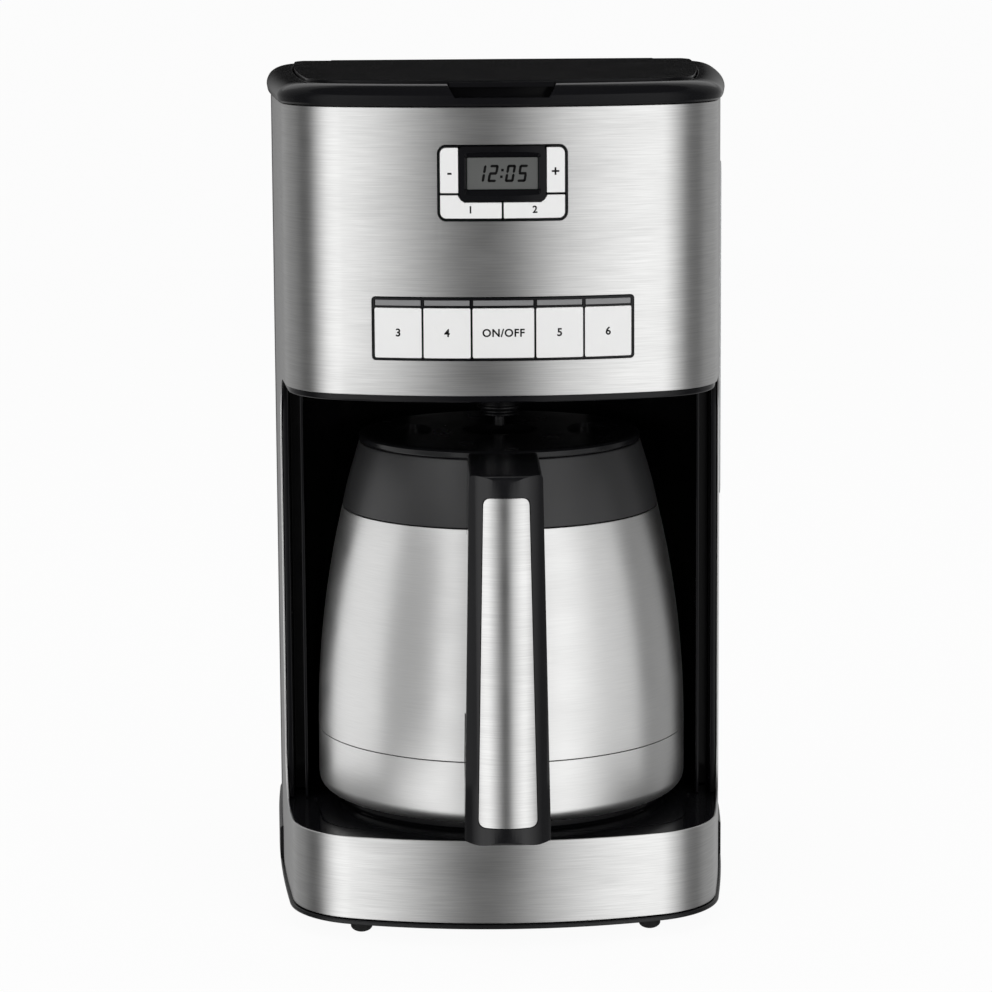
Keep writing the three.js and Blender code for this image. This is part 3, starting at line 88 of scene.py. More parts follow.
SHEET, WALL, SEAM = 0.8, 2.4, 0.3
PAN_TOP = WRAP_BOTTOM - SEAM
INSIDE = SHEET + SEAM
FRONT_RADIUS, FRONT_CHORD = 205, 126.6
CORNER_RADIUS, CORNER_SWEEP = 36, 83
SIDE_RADIUS, REAR_RADIUS = 1228, 28
MOUTH_TALL, MOUTH_DEPTH, MOUTH_CORNER, LIP_DROP = 181.45, 74, 21, 2.8
BAY_TOP = BAY_FLOOR + MOUTH_TALL
MOUTH_REAR = FRONT + MOUTH_DEPTH
BAY_RADIUS = 82
CHEEK_DEPTH, CHEEK_RIM, BAY_EDGE, POCKET_DEPTH = 20, 2.4, 1.4, 16
LID_INSET, LID_GAP = 9.5, 0.5
CAP_PROUD, PAN_PROUD = 1.7, 1.3

NOZZLE = span("basket_holder")
BASKET_RADIUS, BASKET_FLOOR, FUNNEL_DROP = 55, 21, 8.8
SEAT_RISE, BAY_REAR = 5, WRAP_REAR - 8 - SEAM
BASKET_TOP, BASKET_BOTTOM = NOZZLE[1][2], BAY_TOP + WALL + SEAT_RISE + SEAM

CLOCK_WIDTH, CLOCK_TALL, CLOCK_ROUND, CLOCK_BORDER = 50.7, 29.4, 3.2, 0.75
CLOCK_MIDDLE = (CLOCK[0][2] + CLOCK[1][2]) / 2
ROW_WIDTH, ROW_TALL, ROW_ROUND, ROW_BORDER, ROW_GAP = 103.3, 24.7, 1.2, 0.8, 0.8
ROW_MIDDLE = (ROW[0][2] + ROW[1][2]) / 2
FRAME_THICK = 7.6
KEY_PROUD, KEY_THICK, SLIP = 0.5, 5, 0.35
LAMP_TALL, LAMP_DEEP, KEY_ROUND, BREW_WIDTH = 2.5, 1.6, 0.6, 24.4
BEZEL_WIDTH, BEZEL_TALL, SIDE_KEY_TALL = 34, 21.9, 17.9

# How far cutters reach past what they cut, and a width well beyond both sides.
OVER, PAST, SIDE = 3, 5, 200

# -------------------- meshes


def mesh_object(name, verts, faces):
    """A mesh from millimetre corners, facing outwards."""
    mesh = bpy.data.meshes.new(name)
    mesh.from_pydata([tuple(c * MM for c in v) for v in verts], [], faces)
    bm = bmesh.new()
    bm.from_mesh(mesh)
    bmesh.ops.remove_doubles(bm, verts=bm.verts, dist=1e-7)
    bmesh.ops.recalc_face_normals(bm, faces=bm.faces)
    bm.to_mesh(mesh)
    bm.free()
    return placed(name, mesh)


def placed(name, data):
    """A new object in the scene."""
    obj = bpy.data.objects.new(name, data)
    bpy.context.scene.collection.objects.link(obj)
    return obj


def arc(x, y, radius, start, sweep, steps, tall=None):
    """Points along an arc from its start, or of an ellipse where it is as tall as given."""
    angles = [radians(start + sweep * i / steps) for i in range(steps + 1)]
    return [(x + radius * cos(a), y + (tall or radius) * sin(a)) for a in angles]


def softened(points, radius, steps):
    """A closed outline with its corners rounded, where the sides leave room."""
    straight, share = radians(12), 0.45
    result = []
    count = len(points)
    for i, (x, y) in enumerate(points):
        (px, py), (qx, qy) = points[i - 1], points[(i + 1) % count]
        a, b = hypot(px - x, py - y), hypot(qx - x, qy - y)
        ux, uy, vx, vy = (px - x) / a, (py - y) / a, (qx - x) / b, (qy - y) / b
        turn = acos(max(-1, min(1, -(ux * vx + uy * vy))))
        if turn < straight:
            result.append((x, y))
            continue
        reach = min(radius * tan(turn / 2), share * a, share * b)
        start, end = (x + ux * reach, y + uy * reach), (x + vx * reach, y + vy * reach)
        result += bend(start, (x, y), end, steps)
    return result


def bend(start, control, end, steps=10):
    """Points along a quadratic curve."""
    return [
        tuple((1 - t) ** 2 * a + 2 * t * (1 - t) * b + t ** 2 * c for a, b, c in zip(start, control, end))
        for t in (i / steps for i in range(steps + 1))
    ]


def woven(rows, columns, lines, cells):
    """Faces between neighbouring rows of corners: so many rows of so many faces."""
    faces = []
    for i in range(lines):
        a, b = i * columns, (i + 1) % rows * columns
        for j in range(cells):
            k = (j + 1) % columns
            faces.append((a + j, b + j, b + k, a + k))
    return faces


def closed_faces(count, base=0):
    """Faces of a solid between two rings of as many corners."""
    ring = range(count)
    ends = [tuple(base + i for i in ring), tuple(base + count + i for i in reversed(ring))]
    return ends + [
        (base + i, base + (i + 1) % count, base + count + (i + 1) % count, base + count + i) for i in ring
    ]


def turned_profile(profile, soft):
    """The profile with its corners softened, apart from its ends on the axis."""
    if profile[0][0] or profile[-1][0]:
        return softened(profile, soft, 2)
    first, last = profile[0][1], profile[-1][1]
    inner = softened([(0, first - PAST), *profile, (0, last + PAST)], soft, 2)
    return [(0, first), *[p for p in inner if p[0] > 0.01], (0, last)]


def lathe(profile, x=0.0, y=AXIS, segments=144, soft=0.3):
    """A profile of (radius, height) turned about an upright axis."""
    touches = profile[0][0] == 0 and profile[-1][0] == 0
    if soft:
        profile = turned_profile(profile, soft)
    verts = []
    for i in range(segments):
        angle = 2 * pi * i / segments
        verts += [(x + radius * cos(angle), y + radius * sin(angle), height) for radius, height in profile]
    rows = len(profile)
    return mesh_object("lathe", verts, woven(segments, rows, segments, rows - 1 if touches else rows))


def drum(inner, outer, low, high, y=AXIS, segments=144, soft=0.0):
    """A ring about an upright axis, or a disc where it has no inner radius."""
    return lathe([(inner, low), (outer, low), (outer, high), (inner, high)], 0, y, segments, soft)


def prism(outline, low, high, axis="z"):
    """A closed outline raised from one place to another along an axis."""
    order = {"z": (0, 1, 2), "y": (0, 2, 1), "x": (2, 0, 1)}[axis]
    verts = [tuple((u, v, w)[i] for i in order) for w in (low, high) for u, v in outline]
    return mesh_object("prism", verts, closed_faces(len(outline)))


def upright(shape, low=FRONT - OVER, high=AXIS):
    """A shape seen from the front, raised from one depth to another."""
    return prism(shape, low, high, "y")


def block(x0, x1, y0, y1, z0, z1):
    return prism([(x0, y0), (x1, y0), (x1, y1), (x0, y1)], z0, z1)


def both_sides(near, far, *rest):
    """A block on the right and its mirror image on the left."""
    return block(near, far, *rest), block(-far, -near, *rest)


def rectangle(width, height, radius, x, y, steps=8):
    """A rectangle with round corners, about its middle."""
    right, top = width / 2 - radius, height / 2 - radius
    points = []
    for i, (cx, cy) in enumerate(((right, -top), (right, top), (-right, top), (-right, -top))):
        points += arc(x + cx, y + cy, radius, 90 * i - 90, 90, steps)
    return points


def middle(node, across=0):
    """Middle of a node seen from the front, or from the side with across 1."""
    low, high = span(node)
    return (low[across] + high[across]) / 2, (low[2] + high[2]) / 2


def face_of(node, out, radius, across=0, steps=8):
    """A rectangle a distance outside a node, seen like its middle."""
    low, high = span(node)
    width, tall = high[across] - low[across] + 2 * out, high[2] - low[2] + 2 * out
    return rectangle(width, tall, radius or width / 2 - 0.01, *middle(node, across), steps)


def combine(obj, others, operation):
    """obj with the others cut away, joined on or met, which are then gone."""
    for other in others:
        modifier = obj.modifiers.new("shape", "BOOLEAN")
        modifier.operation = operation
        modifier.solver = "MANIFOLD"
        modifier.object = other
    bake(obj)
    for other in others:
        bpy.data.objects.remove(other)
    return obj


def cut(obj, *others):
    return combine(obj, others, "DIFFERENCE")


def meet(obj, *others):
    return combine(obj, others, "INTERSECT")


def join(obj, *others):
    return combine(obj, others, "UNION")


def bake(obj):
    """The object's mesh with its modifiers worked in."""
    mesh = worked_out(obj)
    obj.modifiers.clear()
    old, obj.data = obj.data, mesh
    bpy.data.meshes.remove(old)


def worked_out(obj):
    """A new mesh of what an object shows."""
    bpy.context.view_layer.update()
    depsgraph = bpy.context.evaluated_depsgraph_get()
    return bpy.data.meshes.new_from_object(obj.evaluated_get(depsgraph))


# -------------------- body outline


def body_stations():
    """Points round the body in plan, each with the direction that faces out there."""
    # Radius, last angle and steps of the arcs from the middle of the front to that of the back.
    arcs = (
        (FRONT_RADIUS, degrees(asin(FRONT_CHORD / 2 / FRONT_RADIUS)), 24),
        (CORNER_RADIUS, CORNER_SWEEP, 30), (SIDE_RADIUS, None, 16), (REAR_RADIUS, 180, 20),
    )
    x, y, start, last = 0.0, FRONT, 0, 0
    half = [(0.0, FRONT, 0.0, -1.0)]
    for radius, end, steps in arcs:
        x += (last - radius) * sin(radians(start))
        y -= (last - radius) * cos(radians(start))
        if end is None:  # the side ends where the rear corner then reaches the back
            end = degrees(acos((y + REAR_RADIUS - BACK) / (radius - REAR_RADIUS)))
        for i in range(1, steps + 1):
            angle = radians(start + (end - start) * i / steps)
            nx, ny = sin(angle), -cos(angle)
            half.append((x + radius * nx, y + radius * ny, nx, ny))
        start, last = end, radius
    return half + flipped(reversed(half[1:]))


def flipped(path):
    """The mirror image of a row of stations."""
    return [(-x, y, -nx, ny) for x, y, nx, ny in path]


STATIONS = body_stations()


def within(out, low, high):
    """What lies inside the body's outline, moved out by a distance."""
    return prism([(x + out * nx, y + out * ny) for x, y, nx, ny in STATIONS], low, high)


def stretch(low_y, high_y):
    """Stations of the right half between two depths, with both ends worked out."""
    right = STATIONS[: len(STATIONS) // 2 + 1]
    kept = []
    for a, b in zip(right, right[1:]):
        for edge in (low_y, high_y):
            if edge is not None and (a[1] - edge) * (b[1] - edge) < 0:
                t = (edge - a[1]) / (b[1] - a[1])
                kept.append(tuple(p + t * (q - p) for p, q in zip(a, b)))
        if (low_y is None or b[1] > low_y) and (high_y is None or b[1] < high_y):
            kept.append(b)
    if low_y is None:
        kept.insert(0, right[0])
    return kept


def carried(profile, stations=None, soft=0.0, steps=2):
    """A closed profile of (distance out, height) carried round the outline or along a stretch."""
    profile = softened(profile, soft, steps) if soft else profile
    path = stations or STATIONS
    rows, columns = len(path), len(profile)
    verts = [(x + o * nx, y + o * ny, h) for x, y, nx, ny in path for o, h in profile]
    faces = woven(rows, columns, rows - 1 if stations else rows, columns)
    if stations:
        faces.append(tuple(range(columns)))
        faces.append(tuple((rows - 1) * columns + j for j in reversed(range(columns))))
    return mesh_object("carried", verts, faces)


def strip(out, inner, low, high):
    """Profile of a wall between two distances out."""
    return [(out, low), (out, high), (inner, high), (inner, low)]


def mirrored(path):
    """A stretch of the right half together with its mirror image, in order."""
    left = flipped(path)[::-1]
    return left[:-1] + path if path[0][0] == 0 else path + left[1:]


def bowed(low, high):
    """What lies from one depth to another under the bowed front face."""
    reach = degrees(asin(FRONT_CHORD / 2 / FRONT_RADIUS)) + 4

    def line(depth):
        return arc(0, FRONT + FRONT_RADIUS, FRONT_RADIUS - depth, -90 - reach, 2 * reach, 48)

    return prism(line(low) + line(high)[::-1], 0, LID_TOP)


def behind(y):
    return block(-300, 300, y, 400, -50, 500)


def before(y):
    return block(-300, 300, -400, y, -50, 500)


# -------------------- materials


def added(tree, kind):
    return tree.nodes.new("ShaderNode" + kind)


def put(node, values):
    """Constants on a node's own sockets."""
    for socket, value in values.items():
        node.inputs[socket].default_value = value


def shader(name, color, roughness, metallic=0.0):
    """A new material with its node tree and its shader."""
    material = bpy.data.materials.new(name)
    material.use_nodes = True
    bsdf = material.node_tree.nodes["Principled BSDF"]
    put(bsdf, {"Base Color": (*color, 1), "Roughness": roughness, "Metallic": metallic})
    material.diffuse_color = (*color, 1)
    return material, material.node_tree, bsdf


def noise(tree, scale, detail, stretch_by=(1, 1, 1)):
    """Noise over the object's own coordinates, stretched along an axis."""
    place, mapping, texture = added(tree, "TexCoord"), added(tree, "Mapping"), added(tree, "TexNoise")
    put(mapping, {"Scale": stretch_by})
    put(texture, {"Scale": scale, "Detail": detail})
    tree.links.new(place.outputs["Object"], mapping.inputs["Vector"])
    tree.links.new(mapping.outputs["Vector"], texture.inputs["Vector"])
    return texture.outputs["Fac"]


def ranged(tree, value, low, high, start=0.3, end=0.7):
    """A value between start and end, carried over to the range from low to high."""
    node = added(tree, "MapRange")
    put(node, {"From Min": start, "From Max": end, "To Min": low, "To Max": high})
    tree.links.new(value, node.inputs["Value"])
    return node.outputs["Result"]


def tinted(tree, bsdf, factor, dark, light):
    """Base colour between two colours by a factor."""
    mix = added(tree, "Mix")
    mix.data_type = "RGBA"
    put(mix, {"A": (*dark, 1), "B": (*light, 1)})
    tree.links.new(factor, mix.inputs["Factor"])
    tree.links.new(mix.outputs["Result"], bsdf.inputs["Base Color"])


def bumped(tree, bsdf, height, distance, strength):
    bump = added(tree, "Bump")
    put(bump, {"Distance": distance, "Strength": strength})
    tree.links.new(height, bump.inputs["Height"])
    tree.links.new(bump.outputs["Normal"], bsdf.inputs["Normal"])


def brushed_steel(name, color, roughness, grain, streak=0.7, depth=0.12):
    """Steel with fine level brushing, a little duller in cloudy patches."""
    material, tree, bsdf = shader(name, color, roughness, 1.0)
    put(bsdf, {"Anisotropic": streak, "Anisotropic Rotation": 0.25})
    tangent = added(tree, "Tangent")
    tangent.direction_type = "RADIAL"
    tangent.axis = "Z"
    tree.links.new(tangent.outputs["Tangent"], bsdf.inputs["Tangent"])
    lines = noise(tree, grain, 3.0, (0.025, 0.025, 1))
    dark, light = [[c * share for c in color] for share in (1 - depth, 1 + depth / 3)]
    tinted(tree, bsdf, ranged(tree, lines, 0, 1), dark, light)
    clouds = noise(tree, 28, 2.0, (1, 1, 2.5))
    tree.links.new(ranged(tree, clouds, roughness - 0.03, roughness + 0.04), bsdf.inputs["Roughness"])
    bumped(tree, bsdf, lines, 0.00002, 0.35)
    return material


def plastic(name, color, roughness, grain=0.0, coat=0.0, shine=0.5):
    """Moulded plastic: a mottled gloss, over a fine grain where asked, else over a slight waviness."""
    material, tree, bsdf = shader(name, color, roughness)
    put(bsdf, {"Specular IOR Level": shine, "Coat Weight": coat, "Coat Roughness": 0.06})
    mottle = ranged(tree, noise(tree, 60, 3.0), roughness - 0.03, roughness + 0.03)
    tree.links.new(mottle, bsdf.inputs["Roughness"])
    if grain:
        bumped(tree, bsdf, noise(tree, grain, 2.0), 0.00003, 0.5)
    else:
        bumped(tree, bsdf, noise(tree, 240, 1.0), 0.00002, 0.05)
    return material


def clear_plastic(name, color, roughness, transmission):
    material, tree, bsdf = shader(name, color, roughness)
    put(bsdf, {"Transmission Weight": transmission, "IOR": 1.49})
    bumped(tree, bsdf, noise(tree, 120, 2.0), 0.00003, 0.1)
    return material


CARAFE_STEEL = brushed_steel("satin_carafe_steel", (0.78, 0.78, 0.774), 0.4, 3600, 0.4, 0.05)
GRIP_BLACK = plastic("gloss_grip_plastic", (0.008, 0.008, 0.009), 0.13, shine=0.35)
LID_BLACK = plastic("black_lid_plastic", (0.007, 0.007, 0.008), 0.14, shine=0.1)
INK = plastic("black_print", (0.004, 0.004, 0.004), 0.5, shine=0.1)

LOOKS = {
    "brushed_steel": brushed_steel("brushed_steel_sheet", (0.72, 0.72, 0.714), 0.34, 2600),
    "plain_steel": brushed_steel("drawn_steel", (0.55, 0.55, 0.55), 0.24, 1500),
    "gloss_black": plastic("gloss_black_plastic", (0.006, 0.006, 0.007), 0.10, shine=0.22),
    "satin_black": plastic("satin_black_plastic", (0.008, 0.008, 0.009), 0.25, grain=2600, shine=0.3),
    "dark_grey": plastic("dark_grey_plastic", (0.026, 0.026, 0.027), 0.4, grain=2600),
    "ivory": plastic("white_key_plastic", (0.90, 0.90, 0.895), 0.4, grain=2000),
    "lamp_grey": plastic("grey_lamp_plastic", (0.23, 0.23, 0.235), 0.25),
    "screen": plastic("display_glass", (0.115, 0.118, 0.115), 0.22, coat=0.5),
    "clear_plastic": clear_plastic("frosted_window", (0.86, 0.88, 0.88), 0.45, 0.2),
    "smoke_plastic": clear_plastic("smoke_plastic", (0.34, 0.35, 0.36), 0.16, 0.75),
    "rubber": plastic("black_rubber", (0.010, 0.010, 0.010), 0.6, grain=3000, shine=0.25),
    "silicone": plastic("silicone", (0.62, 0.61, 0.57), 0.45),
    "aluminium": brushed_steel("cast_aluminium", (0.58, 0.59, 0.60), 0.42, 900),
    "circuit_board": plastic("circuit_board_green", (0.02, 0.13, 0.05), 0.35),
}
SLOT_OF = {part["node"]: part["material_slot"] for part in frame["record"]["subparts"]}
BODY_OF = {n: b for b, members in frame["record"]["behaviour"]["bodies"].items() for n in members}


def dress(obj, slot_name, bevel, look=None):
    """Material, smooth shading and softened edges, which are finer where they are wide."""
    obj.data.materials.clear()
    obj.data.materials.append(look or LOOKS[slot_name])
    for polygon in obj.data.polygons:
        polygon.use_smooth = True
    if bevel:
        modifier = obj.modifiers.new("edges", "BEVEL")
        modifier.width = bevel * MM
        modifier.segments = 3 if bevel > 0.35 else 2
        modifier.limit_method = "ANGLE"
        modifier.angle_limit = radians(32)
    obj.modifiers.new("normals", "WEIGHTED_NORMAL").keep_sharp = True


def stands_for(obj, node, bevel=0.0, look=None):
    """obj is shown in place of a CAD node, on its body and in its material."""
    obj.name = node + "_look"
    dress(obj, SLOT_OF[node], bevel, look)
    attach(obj, BODY_OF[node])
    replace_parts(obj, node)


def printed(obj, name, body, slot_name):
    """A small black piece with no CAD node of its own."""
    obj.name = name
    dress(obj, slot_name, 0, look=INK)
    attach(obj, body)


# -------------------- steel and moulded body


def mouth_cutter():
    """The bay's mouth seen from the side: open to the front, with round rear corners."""
    points = [(FRONT - OVER, BAY_FLOOR)]
    for start, height in ((-90, BAY_FLOOR + MOUTH_CORNER), (0, BAY_TOP - MOUTH_CORNER)):
        points += arc(MOUTH_REAR - MOUTH_CORNER, height, MOUTH_CORNER, start, 90, 24)
    return prism(points + [(FRONT - OVER, BAY_TOP)], -SIDE, SIDE, "x")


def front_wrap():
    path = mirrored(stretch(None, WRAP_REAR))
    sheet = carried(strip(0, -SHEET, WRAP_BOTTOM, WRAP_TOP), path, soft=0.35)
    clock = rectangle(CLOCK_WIDTH + 2 * SEAM, CLOCK_TALL + 2 * SEAM, CLOCK_ROUND + SEAM, 0, CLOCK_MIDDLE)
    row = rectangle(ROW_WIDTH + 2 * SEAM, ROW_TALL + 2 * SEAM, ROW_ROUND + SEAM, 0, ROW_MIDDLE)
    cut(sheet, mouth_cutter(), *[upright(shape, FRONT - 2, FRONT + 30) for shape in (clock, row)])
    stands_for(sheet, "front_wrap", bevel=0.22)


def rear_housing():
    """The moulded sides and back, with tongues behind the steel."""
    bottom, overlap = HOUSING[0][2], WRAP_REAR - HOUSING[0][1]
    shell = carried(strip(0, -WALL, bottom, WRAP_TOP), mirrored(stretch(WRAP_REAR + SEAM, None)), soft=0.4)
    seat = stretch(WRAP_REAR - overlap, WRAP_REAR + overlap)
    tongue = strip(-INSIDE, -WALL, bottom, WRAP_TOP)
    join(shell, *[carried(tongue, path) for path in (seat, flipped(seat))])
    slot = rectangle(22, 4, 1.9, 0, WRAP_TOP - 26)
    gland = rectangle(13, 9, 2.8, *middle("cord_gland"))
    window = prism(face_of("water_window", SEAM, None, across=1), 60, 120, "x")
    cut(shell, window, *[upright(shape, BACK - PAST, BACK + PAST) for shape in (slot, gland)])
    stands_for(shell, "rear_housing", bevel=0.3)


def bay_plan(radius):
    """The bay in plan: round at the back and open to the front."""
    return [(-radius, FRONT - 60), (radius, FRONT - 60)] + arc(0, AXIS, radius, 0, 180, 64)


def bay_liner():
    """The round wall behind the carafe, with a shallow pocket on both sides."""
    low, high = span("bay_liner")
    front, bottom, top = MOUTH_REAR - SEAM, low[2], high[2]
    cheeks = block(-SIDE, SIDE, front, front + CHEEK_DEPTH, bottom, top)
    back = meet(prism(bay_plan(BAY_RADIUS + WALL), bottom, top), behind(front))
    body = meet(join(cheeks, back), within(-INSIDE, bottom, top))
    near, far = BAY_RADIUS + BAY_EDGE, stretch(None, MOUTH_REAR)[-1][0] - INSIDE - CHEEK_RIM
    pockets = both_sides(near, far, front - OVER, front + POCKET_DEPTH, bottom - OVER, top + OVER)
    cut(body, prism(bay_plan(BAY_RADIUS), bottom - PAST, top + PAST), *pockets)
    stands_for(body, "bay_liner", bevel=0.45)


def head_floor():
    """The plate over the bay with a black lip below the steel and a seat for the basket."""
    bottom, top = BAY_TOP - LIP_DROP, BAY_TOP + WALL
    seat, edge = BASKET_FLOOR + 4, -INSIDE - 0.1
    slab = join(
        meet(within(edge, BAY_TOP, top), before(BAY_REAR)),
        meet(within(edge, bottom, top), behind(MOUTH_REAR), before(BAY_REAR)),
    )
    disc = drum(0, BAY_RADIUS + WALL, bottom, top)
    join(slab, meet(disc, within(edge, bottom, top), behind(MOUTH_REAR)))
    cut(slab, drum(0, BAY_RADIUS, bottom - PAST, BAY_TOP), drum(0, seat, bottom - PAST, top + PAST))
    collar = drum(seat, seat + WALL, bottom + SEAM, top + SEAT_RISE, soft=0.4)
    wall = strip(-INSIDE, -INSIDE - WALL, BAY_TOP + 1, bottom)
    lip = carried(wall, mirrored(stretch(None, MOUTH_REAR + SEAM)), soft=0.9, steps=5)
    stands_for(join(slab, collar, lip), "head_floor")


def platform():
    """The shelf that the carafe stands on, with a groove along its front and a ring round the carafe."""
    base, under = PLATFORM[0][2], BAY_FLOOR - WALL

    def slab(out, low, high):
        front = meet(within(-INSIDE - out, low, high), before(BAY_REAR))
        return join(front, within(-WALL - SEAM - out, low, high))

    plate = cut(slab(0, base, BAY_FLOOR), slab(WALL, base - WALL, under))
    level, inset, ring = BAY_FLOOR - 0.8, 12, 68
    groove = cut(
        meet(within(-inset, level, BAY_FLOOR + WALL), before(MOUTH_REAR)),
        within(-inset - 1, under, BAY_FLOOR + WALL + 1),
    )
    cut(plate, groove, drum(ring, ring + 2, level, BAY_FLOOR + OVER))
    stands_for(plate, "platform", bevel=0.4)


def base_pan():
    """The pan under the machine, with its raised skirt at the back and slots for air."""
    bottom, rear_top = PAN[0][2], PAN[1][2]
    rim = carried(strip(PAN_PROUD, -4, bottom, PAN_TOP), soft=0.7, steps=4)
    plate = join(rim, within(-2, bottom, PAN_TOP))
    step = bottom + 15
    skirt = [
        (PAN_PROUD, bottom + 1), (PAN_PROUD, step), (0, step + PAN_PROUD), (0, rear_top), (-WALL, rear_top),
        (-WALL, bottom + 1),
    ]
    join(plate, carried(skirt, mirrored(stretch(WRAP_REAR + SEAM, None)), soft=0.6))
    slots = [rectangle(4, 46, 1.9, (i - 2) * 9, AXIS) for i in range(5)]
    cut(plate, *[prism(slot, bottom - OVER, PAN_TOP + OVER) for slot in slots])
    stands_for(plate, "base_pan", bevel=0.3)


# -------------------- cap and lid


def top_frame():
    """The rounded shoulder round the lid, with a notch for the lid's tab."""
    x, z = -LID_INSET + 2 * SEAM, WRAP_TOP + 2.9
    inner = -WALL - SEAM
    ring = carried([
        (-LID_INSET, SHOULDER_TOP - 2 * SEAM), *arc(x, z, CAP_PROUD - x, 90, -90, 16, SHOULDER_TOP - z),
        (CAP_PROUD - SEAM, WRAP_TOP + 4 * SEAM), (SEAM, WRAP_TOP + SEAM), (inner, WRAP_TOP + SEAM),
        (inner, WRAP_TOP - 3), (inner - 1.6, WRAP_TOP - 3), (-LID_INSET, WRAP_TOP + 1),
    ], soft=0.25)
    half, low = 21.5, SHOULDER_TOP - 5.2
    notch = [
        (-half, LID_TOP + 3), (half, LID_TOP + 3), (half, SHOULDER_TOP), (half - 3, low), (3 - half, low),
        (-half, SHOULDER_TOP),
    ]
    cut(ring, upright(notch, high=FRONT + LID_INSET + 3))
    stands_for(ring, "top_frame", bevel=0.3, look=LID_BLACK)


def lid():
    """The lid with its skirt, its tab at the front and its hinge barrel at the back."""
    bottom, gap, radius = LID[0][2], LID_INSET + LID_GAP, 3.5
    hinge_y, hinge_z = LID[1][1] - radius, LID_TOP - radius
    reach = span("hinge_pin_right")[1][0] - 5
    under, inset, half = LID_TOP - 3, gap + SLIP, 20.5
    plate = cut(within(-gap, under, LID_TOP), behind(hinge_y))
    skirt = cut(within(-inset, bottom, under + SEAM), within(-inset - 2, bottom - 1, under))
    cut(skirt, behind(hinge_y - 2 * radius))
    tab = block(-half, half, FRONT + 4, FRONT + gap + 2, LID_TOP - 1.9 - SEAM, LID_TOP - SEAM)
    barrel = prism(arc(hinge_y, hinge_z, radius, 0, 360, 48)[:-1], -reach, reach, "x")
    join(plate, skirt, tab, barrel)
    cut(plate, *both_sides(reach, SIDE, hinge_y - radius - LID_GAP, hinge_y + 9, 0, LID_TOP + 3))
    stands_for(plate, "lid", bevel=0.35, look=LID_BLACK)


# -------------------- front panel


def clock_frame():
    """The black surround of screen and clock keys, cut out for each key, the bezel and the screen."""
    outer = upright(rectangle(CLOCK_WIDTH, CLOCK_TALL, CLOCK_ROUND, 0, CLOCK_MIDDLE))
    body = meet(outer, bowed(-SEAM, FRAME_THICK))
    for node in CLOCK_KEYS:
        cut(body, key_prism(node, SLIP))
    low, high = span("clock_bezel")
    tall = 24.3
    bezel = rectangle(high[0] - low[0] + 2 * SEAM, tall, 1, 0, low[2] - SEAM + tall / 2)
    cut(body, meet(upright(bezel), bowed(-OVER, 3)), upright(face_of("clock_screen", 1, 0.5)))
    stands_for(body, "clock_frame", bevel=0.2)


def clock_keys():
    """Outlines of the four keys round the screen, by node."""
    left, beside = -CLOCK_WIDTH / 2 + CLOCK_BORDER, -BEZEL_WIDTH / 2 - SLIP
    top = CLOCK_MIDDLE + CLOCK_TALL / 2
    side_top, low_bottom = top - CLOCK_BORDER, CLOCK_MIDDLE - CLOCK_TALL / 2 + CLOCK_BORDER
    side_low, notch, slant = side_top - SIDE_KEY_TALL, top - BEZEL_TALL - SLIP, 2.2
    low_top = side_low - CLOCK_BORDER
    radius = CLOCK_ROUND - CLOCK_BORDER
    side = arc(left + radius, side_top - radius, radius, 90, 90, 8)
    side += [(left, side_low), (beside, side_low), (beside, side_top)]
    low = [(left, low_top)] + arc(left + radius, low_bottom + radius, radius, 180, 90, 8)
    low += [(-SLIP, low_bottom), (-SLIP, notch)]
    low += [(beside + slant, notch), (beside, notch + slant), (beside, low_top)]

    def flip(points):
        return [(-x, z) for x, z in reversed(points)]

    return {"key_hour": side, "key_minute": flip(side), "key_program": low, "key_tone": flip(low)}


def grown(points, out):
    """The same outline with every side moved out by a distance."""
    area = sum(x * v - u * y for (x, y), (u, v) in zip(points, points[1:] + points[:1]))
    out = out if area > 0 else -out
    result = []
    for i, (x, y) in enumerate(points):
        (px, py), (qx, qy) = points[i - 1], points[(i + 1) % len(points)]
        a, b = hypot(x - px, y - py), hypot(qx - x, qy - y)
        ax, ay, bx, by = (y - py) / a, -(x - px) / a, (qy - y) / b, -(qx - x) / b
        scale = out / (1 + ax * bx + ay * by)
        result.append((x + (ax + bx) * scale, y + (ay + by) * scale))
    return result


CLOCK_KEYS = clock_keys()


def key_prism(node, out):
    return upright(grown(CLOCK_KEYS[node], out))


def clock_key(node):
    key = meet(key_prism(node, -0.05), bowed(-KEY_PROUD, KEY_THICK))
    stands_for(key, node, bevel=0.45)


def row_keys():
    """Name, middle and width of the five brewing keys, left to right."""
    room = ROW_WIDTH - 2 * ROW_BORDER - 4 * ROW_GAP - BREW_WIDTH
    x = -ROW_WIDTH / 2 + ROW_BORDER
    keys = []
    for name in ("auto", "bold", "brew", "small_batch", "clean"):
        width = BREW_WIDTH if name == "brew" else room / 4
        keys.append((name, x + width / 2, width))
        x += width + ROW_GAP
    return keys


KEY_TALL = ROW_TALL - 2 * ROW_BORDER - LAMP_TALL - ROW_GAP
KEY_MIDDLE = ROW_MIDDLE - ROW_TALL / 2 + ROW_BORDER + KEY_TALL / 2
LAMP_MIDDLE = ROW_MIDDLE + ROW_TALL / 2 - ROW_BORDER - LAMP_TALL / 2


def row_frame():
    body = meet(upright(rectangle(ROW_WIDTH, ROW_TALL, ROW_ROUND, 0, ROW_MIDDLE)), bowed(-SEAM, FRAME_THICK))
    for _, x, width in row_keys():
        cut(body, upright(rectangle(width + 2 * SLIP, KEY_TALL + 2 * SLIP, KEY_ROUND + SLIP, x, KEY_MIDDLE)))
        cut(body, meet(upright(rectangle(width, LAMP_TALL, 0.3, x, LAMP_MIDDLE)), bowed(-OVER, LAMP_DEEP)))
    stands_for(body, "button_frame", bevel=0.18)


